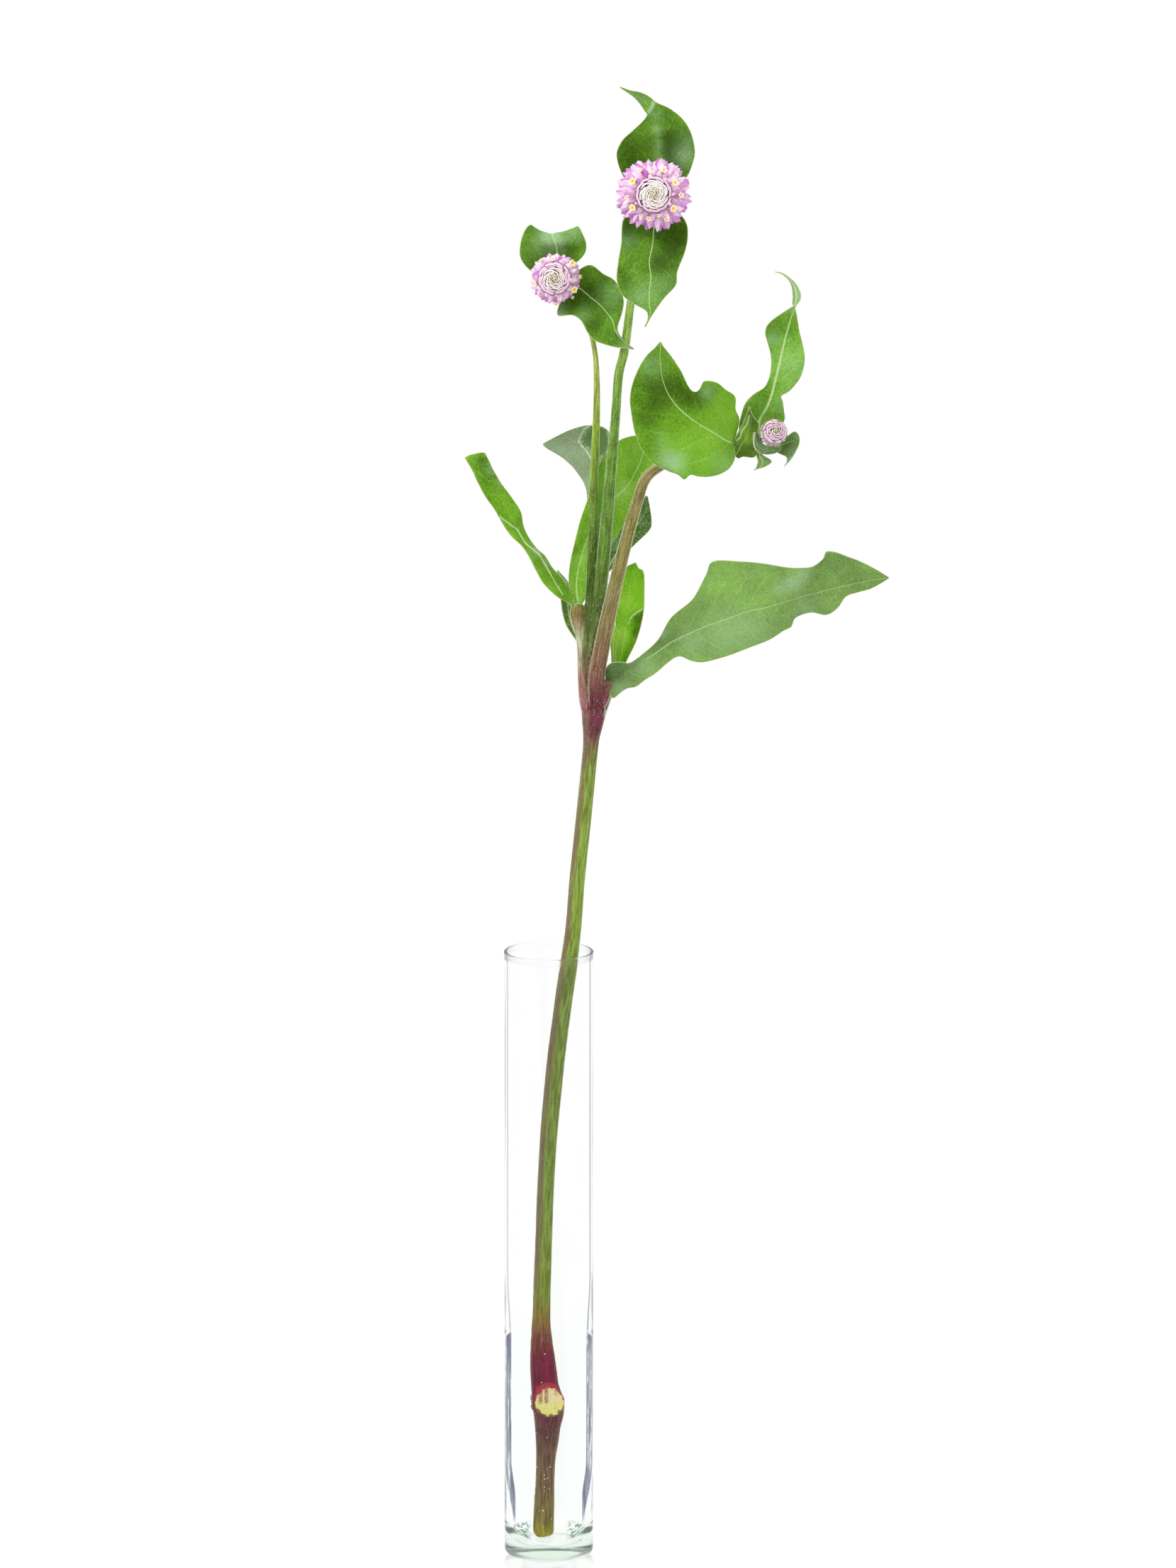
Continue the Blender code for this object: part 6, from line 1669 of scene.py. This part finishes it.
def stem_hairs(places, mat, rng):
    """Pale hairs that lie up along the stalks, thickest on the hairy ones and round the fork."""
    pile = Pile()
    for name, (per_mm, length) in HAIR_COVER.items():
        own = [place for place in places if place.route == name and place.up > HAIR_FROM.get(name, 0)]
        total = int(len(own) * STEM_STEP * per_mm)
        picked = [own[index] for index in rng.integers(0, len(own), total)]
        place_hairs(pile, picked, length, 0.55, rng)
    low, high = FORK_HAIR_SPAN
    fork = [place for place in places if low < place.up < high and place.route != "cut_side_shoot"]
    picked = [fork[index] for index in rng.integers(0, len(fork), FORK_HAIRS)]
    place_hairs(pile, picked, 1.5, 0.9, rng)
    return pile.build("stem_hairs", mat)


def leaf_hairs(uppers, mat, rng):
    """A sparse fringe of short hairs round each leaf's margin."""
    pile = Pile()
    for upper in uppers:
        for column, sense in ((0, 1), (upper.shape[1] - 1, -1)):
            line = upper[:, column]
            outward = unit(line - upper[:, column + sense * 2])
            ahead = unit(np.gradient(line, axis=0))
            total = max(6, int(len(line) * 1.1))
            rows = rng.integers(0, len(line), total)
            aim = outward[rows] + 0.7 * ahead[rows] + 0.35 * rng.normal(size=(total, 3))
            grow_hairs(pile, line[rows], aim, rng.uniform(0.35, 0.9, total), LEAF_HAIR_RADIUS, rng)
    return pile.build("leaf_hairs", mat)


def lathe_rings(profile, segments, shift):
    """Rings of a solid of revolution; shift moves each radius by a little for a hand-made look."""
    profile = np.asarray(profile, float)
    turn = np.arange(segments) * math.tau / segments
    radius = profile[:, :1] + shift(profile[:, :1], profile[:, 1:], turn[None, :])
    height = np.broadcast_to(profile[:, 1:], radius.shape)
    return np.stack([radius * np.cos(turn), radius * np.sin(turn), height], axis=-1) * MM


def arc(centre, radius, start, end, steps):
    """Points of an arc in the profile plane, angles in degrees."""
    turns = np.radians(np.linspace(start, end, steps + 1))
    return [(centre[0] + radius * math.cos(turn), centre[1] + radius * math.sin(turn)) for turn in turns]


def straight(start, end, steps):
    """Points between two profile points, without the first."""
    start, way = np.array(start), np.subtract(end, start)
    return [tuple(start + way * step / steps) for step in range(1, steps + 1)]


def cavity_radius(height):
    """Inside radius of the vase, whose wall is thicker at its lower part."""
    top, low = VASE_RADIUS - WALL_TOP, VASE_RADIUS - WALL_LOW
    share = clipped((height - TAPER_LOW) / (TAPER_TOP - TAPER_LOW))
    return low + (top - low) * share ** 2 * (3 - 2 * share)


def cavity_floor(swell=0.0):
    """Profile of the cavity's rounded bottom, from its middle to its wall, swollen outward a little."""
    flat = cavity_radius(TAPER_LOW) - CAVITY_HEEL
    points = [(NEAR_AXIS, GLASS_FLOOR - swell)]
    points += straight(points[0], (flat, GLASS_FLOOR - swell), 4)
    return points + arc((flat, GLASS_FLOOR + CAVITY_HEEL), CAVITY_HEEL + swell, -90, 0, 16)[1:]


def hand_blown(radius, height, turn):
    """Slight unevenness of drawn glass, in millimetres."""
    inside = np.where(radius < VASE_RADIUS - 0.3, 1.0, 0.35)
    waves = 0.05 * np.sin(2 * turn + height / 31) + 0.03 * np.sin(3 * turn - height / 17)
    low = np.exp(-((height - GLASS_FLOOR) / 5) ** 2) * (radius < VASE_RADIUS - 0.5)
    return inside * waves * np.minimum(1.0, radius / 5) + low * 0.2 * np.sin(5 * turn + radius)


def build_vase(mat):
    """The tube of glass: foot, heel, outer wall, rolled lip, and the cavity back down to its bottom."""
    middle, shoulder, ring = FOOT_PROFILE
    heel = VASE_RADIUS - BASE_FLAT_RADIUS
    outer = [middle] + straight(middle, shoulder, 4) + straight(shoulder, ring, 3)
    outer += arc((BASE_FLAT_RADIUS, heel), heel, -90, 0, 12)
    outer += straight((VASE_RADIUS, heel), (VASE_RADIUS, LIP_START - LIP_EASE), 40)
    outer += straight(outer[-1], (VASE_RADIUS + LIP_SWELL, LIP_START), 3)
    lip = (LIP_RADIUS + VASE_RADIUS - WALL_TOP) / 2 + LIP_SWELL
    lip_half = LIP_RADIUS - lip
    outer += arc((lip, VASE_HEIGHT - lip_half), lip_half, 0, 180, 14)
    inner = cavity_floor()
    inner += straight(inner[-1], (inner[-1][0], TAPER_LOW), 10)
    inner += [(cavity_radius(height), height) for height in np.linspace(TAPER_LOW, TAPER_TOP, 9)[1:]]
    inner += straight(inner[-1], (VASE_RADIUS - WALL_TOP, LIP_START - 1), 24)
    inner += [(VASE_RADIUS - WALL_TOP, LIP_START)]
    rings = lathe_rings(outer + inner[::-1], VASE_SEGMENTS, hand_blown)
    pile = Pile()
    pile.add(rings, tube_faces(len(rings), VASE_SEGMENTS))
    return pile.build("vase_tube", mat)


def build_water(mat):
    """Water that fills the cavity to its level and creeps up a little at the glass and at the stem."""
    wall = cavity_floor(WATER_OVERLAP)
    radius = cavity_radius(WATER_LEVEL) + WATER_OVERLAP
    wall += straight(wall[-1], (radius, WATER_LEVEL + MENISCUS), 24)
    top = [(share * radius, WATER_LEVEL) for share in np.linspace(1, 0, 34)[1:-1]]
    rings = lathe_rings(wall + top, VASE_SEGMENTS, hand_blown) / MM
    surface = rings[len(wall):]
    right, away = surface[..., 0], surface[..., 1]
    at_glass = np.exp(-(radius - np.hypot(right, away)) / MENISCUS_REACH)
    off = np.hypot(right - STEM_AT_SURFACE[0], away - STEM_AT_SURFACE[1]) - STEM_RADIUS_AT_SURFACE
    at_stem = np.exp(-np.maximum(0.0, off) / MENISCUS_REACH)
    surface[..., 2] += MENISCUS * at_glass + STEM_MENISCUS * at_stem
    pile = Pile()
    pile.add(rings * MM, tube_faces(len(rings), VASE_SEGMENTS))
    return pile.build("water_body", mat)


def small_bubbles(rng):
    """Small bubbles anywhere on the sunken stem, as (right, up, away, radius)."""
    route = np.array(MAIN_STEM, float)
    places = []
    for up in np.sort(rng.uniform(*SMALL_BUBBLE_SPAN, SMALL_BUBBLES)):
        right, away, thick = (np.interp(up, route[:, 1], route[:, k]) for k in (0, 2, 3))
        turn = rng.choice(SMALL_BUBBLE_SIDES, p=SMALL_BUBBLE_SHARES) + rng.normal() * 0.35
        radius = rng.uniform(*SMALL_BUBBLE_RADII)
        far = thick / 2 + 0.4 * radius
        places.append((right + far * math.cos(turn), up, away + far * math.sin(turn), radius))
    return places


def build_bubbles(mat):
    """Air bubbles on the sunken stem: the larger ones as in the picture, and small ones anywhere."""
    pile = Pile()
    turns = np.arange(16) * math.tau / 16
    rises = np.radians(np.linspace(-84, 84, 9))[:, None]
    for right, up, away, radius in BUBBLES + small_bubbles(np.random.default_rng(21)):
        flat = np.cos(rises) * radius
        tall = np.sin(rises) * radius + 0 * turns
        rings = np.stack([flat * np.cos(turns), flat * np.sin(turns), tall], axis=-1)
        pile.add(seen((right, up, away)) + rings * MM, tube_faces(9, 16))
    return pile.build("stem_bubbles", mat)


class HeadFrame:
    """Middle of a flower head, its right, its up, and the way that it faces."""

    def __init__(self, spec):
        self.centre = seen(drifted([spec["centre"]], spec["side"])[0])
        self.axis = facing(*spec["faces"])
        self.right = unit(np.array([1.0, 0, 0]) - self.axis * self.axis[0])
        self.up = np.cross(self.axis, self.right)

    def ray(self, turn):
        """The way out from the axis at a turn round it."""
        return self.right * math.cos(turn) + self.up * math.sin(turn)

    def on_dome(self, polar, turn, wide, deep):
        """Point of an ellipsoid round the head's middle, wide and deep in millimetres."""
        out = self.ray(turn) * math.sin(polar) * wide
        return self.centre + (out + self.axis * math.cos(polar) * deep) * MM


def add_bract(pile, root, tip, side, width, curl, tone):
    """A papery keeled scale that narrows to a point, hollow on the side that faces the head's front."""
    rows, columns = 9, 7
    share = np.linspace(0, 1, rows)[:, None]
    across = np.linspace(-1, 1, columns)[None, :]
    way = unit(tip - root)
    length = np.linalg.norm(tip - root)
    side = unit(side - way * side.dot(way))
    hollow = np.cross(side, way)
    half = width / 2 * (0.7 + 0.7 * share) * (1 - share ** 3.2) ** 0.85 + 0.03
    keel = half * 0.7 * (1 - np.abs(across) ** 1.5)
    grid = root + way * (length * share)[..., None] + side * (across * half * MM)[..., None]
    crumple = 0.1 * half * np.sin(9 * share + 4 * across)
    lift = (curl * share ** 2 * length / MM - keel + crumple) * MM
    grid = grid + hollow * lift[..., None]
    # Paler towards both edges: a painted highlight along them
    add_sheet(pile, grid, 0.05, tip=share, inner=0.0, tone=tone - 0.35 * across ** 2 + 0.12)


def add_scale(pile, head, radius, top, turn, half_turn, size, inner, skew):
    """One curved scale of the tight inner rosette, bright at its upper edge, with painted shadow on its
    lower part and sides.
    """
    rows, columns = 6, 11
    across = np.linspace(-1, 1, columns)[None, :]
    share = np.linspace(0, 1, rows)[:, None]
    angle = turn + across * half_turn
    droop = np.abs(across) ** 2.4
    reach = radius + skew * across * size + size * (1 - share) ** 1.2 - 0.1 * size * droop
    height = top - size * (1.05 * (1 - share) ** 1.6 + 0.4 * droop)
    ring = head.right * np.cos(angle)[..., None] + head.up * np.sin(angle)[..., None]
    grid = head.centre + (ring * reach[..., None] + head.axis * height[..., None]) * MM
    # How lit the scale is painted: darker low down and towards its sides
    light = share * (1 - 0.35 * droop)
    add_sheet(pile, grid, 0.06 + 0.03 * size, tip=light, inner=inner, tone=0.0)


def add_floret(pile, root, way, size, faded, rng):
    """A small tube that opens into five lobes."""
    side = unit(np.cross(way, rng.normal(size=3)))
    other = np.cross(way, side)
    turn = np.arange(20) * math.tau / 20
    deep = 0.25 + 0.2 * faded
    star = 1 - deep + deep * np.maximum(0.0, np.cos(5 * turn)) ** 0.8
    points, tips = [], []
    for radius, height, starry, tip in FLORET_RINGS:
        reach = size * radius * (1 - starry + starry * star)
        lift = size * (height + 0.12 * starry * np.cos(5 * turn))
        ring = side * (reach * np.cos(turn))[:, None] + other * (reach * np.sin(turn))[:, None]
        points.append(root + (ring + way * lift[:, None]) * MM)
        tips.append(np.full(20, tip))
    faces = tube_faces(len(FLORET_RINGS), 20)
    pile.add(np.stack(points), faces, tip=np.concatenate(tips), faded=float(faded))


def add_core(pile, head, wide, deep):
    """The dark ball that the bracts stand in."""
    turns = np.arange(36) * math.tau / 36
    rises = np.radians(np.linspace(178, 2, 25))
    core = [[head.on_dome(rise, turn, wide, deep) for turn in turns] for rise in rises]
    pile.add(np.array(core), tube_faces(25, 36), tip=0.0, inner=0.0, tone=0.5)


def add_bracts(pile, head, spec, front, rng):
    """Papery bracts by the golden angle, from round the rosette to the back of the head."""
    wide, deep = spec["core"]
    total = spec["bracts"]
    for index in range(total):
        place = (index + 0.5) / total
        polar = math.acos(spec["open_cos"] - (spec["open_cos"] - spec["last_cos"]) * place)
        turn = index * GOLDEN_ANGLE + rng.normal() * 0.05
        long = rng.uniform(0.86, 1.05)
        root = head.on_dome(polar - 0.12, turn, wide * 0.74, deep * 0.74)
        opened = polar + rng.uniform(0.1, 0.34)
        swung = turn + rng.normal() * 0.06
        tip = head.on_dome(opened, swung, spec["reach"] * long, front * long)
        around = head.up * math.cos(turn) - head.right * math.sin(turn)
        ray = unit(tip - head.centre)
        side = around + np.cross(ray, around) * rng.uniform(-0.9, 0.9)
        # Deeper towards the back of the head, and deeper on its lower side as painted shade
        tone = spec["tone"] + 0.75 * place - 0.3 * math.sin(turn) * place + rng.normal() * 0.4
        width = spec["width"] * rng.uniform(0.8, 1.2)
        add_bract(pile, root, tip, side, width, 0.07 * rng.normal(), tone)


def add_rosette(pile, head, spec, front, rng):
    """Rings of tight scales at the front of the head."""
    for ring_index, (radius, count, half_turn, size, inner) in enumerate(spec["rosette"]):
        dome = front * spec["rosette_high"] * math.sqrt(1 - (radius / spec["reach"]) ** 2)
        for index in range(count):
            turn = ring_index * GOLDEN_ANGLE + (index + 0.12 * rng.normal()) * math.tau / count
            top = dome + 0.1 * rng.normal()
            add_scale(pile, head, radius, top, turn, math.radians(half_turn), size, inner, spec["skew"])


def add_florets(pile, head, spec, front, rng):
    """Open florets at their places on the front of the head."""
    for across, rise, size, faded in spec["florets"]:
        flat = min(0.99, math.hypot(across, rise) / (spec["reach"] * 1.02))
        out = head.right * across + head.up * rise + head.axis * front * math.sqrt(1 - flat ** 2)
        way = unit(unit(out) + 0.6 * head.axis)
        add_floret(pile, head.centre + (out + way * 0.4) * MM, way, size, faded, rng)


def shared(piece, node):
    """The piece stands for that solid, if any, which it hides, and rides with the plant."""
    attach(piece, "root")
    if node:
        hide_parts(node)


def build_head(name, spec, mat, floret_mat):
    """Bracts round a dark core, a rosette of scales at its front, and small open florets."""
    rng = np.random.default_rng(spec["seed"])
    head = HeadFrame(spec)
    wide, deep = spec["core"]
    front = deep + spec["reach"] - wide
    pile = Pile()
    add_core(pile, head, wide * 0.86, deep * 0.86)
    add_bracts(pile, head, spec, front, rng)
    add_rosette(pile, head, spec, front, rng)
    shared(pile.build(name + "_bracts", mat), name)
    if spec["florets"]:
        flowers = Pile()
        add_florets(flowers, head, spec, front, rng)
        shared(flowers.build(name + "_florets", floret_mat), None)


def white_light(tree, strength):
    """White light of this strength, from a part of the surroundings."""
    inputs = {"Color": (1.0, 1.0, 1.0, 1.0), "Strength": strength}
    return add(tree, "ShaderNodeBackground", inputs).outputs[0]


def build_world():
    """White behind all that is seen directly or through glass, and a soft studio that lights the rest."""
    world = bpy.data.worlds.new("studio")
    bpy.context.scene.world = world
    world.use_nodes = True
    tree = world.node_tree
    tree.nodes.clear()
    sky = add(tree, "ShaderNodeTexCoord").outputs["Generated"]
    way = add(tree, "ShaderNodeSeparateXYZ", {0: sky}).outputs
    lit = white_light(tree, band(tree, way[2], -0.3, 1.0, 0.7, 1.25))
    behind = band(tree, way[1], -0.35, 0.7, 0.06, 1.0)
    panel = times(tree, band(tree, way[0], -0.55, -0.75), band(tree, way[1], 0.3, 0.0))
    lamp = band(tree, way[2], 0.93, 0.97, 0.0, 9.0)
    shine = white_light(tree, plus(tree, maths(tree, "MAXIMUM", behind, panel), lamp))
    path = add(tree, "ShaderNodeLightPath").outputs
    through = maths(tree, "GREATER_THAN", path["Transmission Depth"], 0.5)
    glossy = maths(tree, "GREATER_THAN", path["Glossy Depth"], 0.5)
    scattered = maths(tree, "GREATER_THAN", path["Diffuse Depth"], 0.5)
    mixed = "ShaderNodeMixShader"
    bounced = add(tree, mixed, {0: through, 1: shine, 2: white_light(tree, 0.95)}).outputs[0]
    straight_on = add(tree, mixed, {0: glossy, 1: white_light(tree, 1.02), 2: bounced}).outputs[0]
    whole = add(tree, mixed, {0: scattered, 1: straight_on, 2: lit}).outputs[0]
    add(tree, "ShaderNodeOutputWorld", {"Surface": whole})


def build_floor():
    """A wide white table that glows as the picture's ground does, with a faint gloss."""
    mat, tree, shader = new_material("white_table")
    fine = grain(tree, object_place(tree), 12, 2)
    colour = blend(tree, band(tree, fine, 0.3, 0.7), (0.04, 0.04, 0.04), (0.05, 0.05, 0.05))
    surfaced(tree, shader, colour, band(tree, fine, 0.3, 0.7, 0.5, 0.6), fine, 0.01, 0.1)
    set_inputs(shader, {
        "Emission Color": (1.0, 1.0, 1.0, 1.0),
        "Emission Strength": FLOOR_GLOW,
        "Specular IOR Level": 0.0,
        "Coat Weight": 1.0,
        "Coat IOR": 1.6,
        "Coat Roughness": 0.05,
    })
    turns = np.arange(96) * math.tau / 96
    drop = 0 * turns - FLOOR_DROP * MM
    rings = []
    for radius in FLOOR_RADII:
        rings.append(np.stack([radius * np.cos(turns), radius * np.sin(turns), drop], axis=-1))
    pile = Pile()
    pile.add(np.stack(rings), tube_faces(len(rings), 96)[:-1])
    pile.build("table_top", mat)


def area_light(name, spot, aim, size, power):
    """A round soft light at a spot, aimed at another; places and size in metres."""
    light = bpy.data.lights.new(name, "AREA")
    light.shape = "DISK"
    light.size = size
    light.energy = power
    made = bpy.data.objects.new(name, light)
    bpy.context.scene.collection.objects.link(made)
    made.location = spot
    made.rotation_euler = (Vector(aim) - Vector(spot)).to_track_quat("-Z", "Y").to_euler()


def build_camera():
    """A far camera with a very long lens, which looks down by the eye's angle."""
    data = bpy.data.cameras.new("photo_camera")
    data.sensor_width = 36.0
    data.lens = EYE_LENS
    data.clip_start = 1.0
    data.clip_end = 60.0
    made = bpy.data.objects.new("photo_camera", data)
    bpy.context.scene.collection.objects.link(made)
    target = Vector(seen(PICTURE_MIDDLE))
    back = Vector((0.0, -math.cos(EYE_ELEVATION), math.sin(EYE_ELEVATION)))
    made.location = target + back * EYE_DISTANCE
    made.rotation_euler = (-back).to_track_quat("-Z", "Y").to_euler()
    bpy.context.scene.camera = made


def build_plant():
    """The stem with its hairs, the leaves with theirs, and the flower heads."""
    rng = np.random.default_rng(11)
    hair_mat = hair_material()
    skin, places = build_stem(stem_material())
    shared(skin, "stem")
    shared(stem_hairs(places, hair_mat, rng), None)
    leaf_mats = {kind: leaf_material("leaf_" + kind, look) for kind, look in LEAF_LOOKS.items()}
    uppers = []
    for name, stations in LEAVES.items():
        side, lean, look, tone = LEAF_TRAITS[name]
        stations = rooted(leaned(stations, side, lean))
        blade, upper = build_leaf(name, stations, tone, leaf_mats[look], LEAF_LOOKS[look]["vein_gap"])
        shared(blade, name)
        uppers.append(upper)
    shared(leaf_hairs(uppers, hair_mat, rng), None)
    bract_mats = {name: bract_material(name, *look) for name, look in BRACT_LOOKS.items()}
    floret_mat = floret_material()
    for name, spec in HEADS.items():
        build_head(name, spec, bract_mats[spec["look"]], floret_mat)


def main():
    """The vase with its water, the plant, and the studio round them."""
    shared(build_vase(glass_material()), "vase")
    shared(build_water(water_material()), "water")
    shared(build_bubbles(bubble_material()), None)
    build_plant()
    build_world()
    build_floor()
    for name, (spot, aim, size, power) in LIGHTS.items():
        area_light(name, spot, aim, size, power)
    build_camera()
    bpy.context.scene.view_settings.view_transform = "Standard"
    bpy.context.scene.view_settings.look = "None"


main()
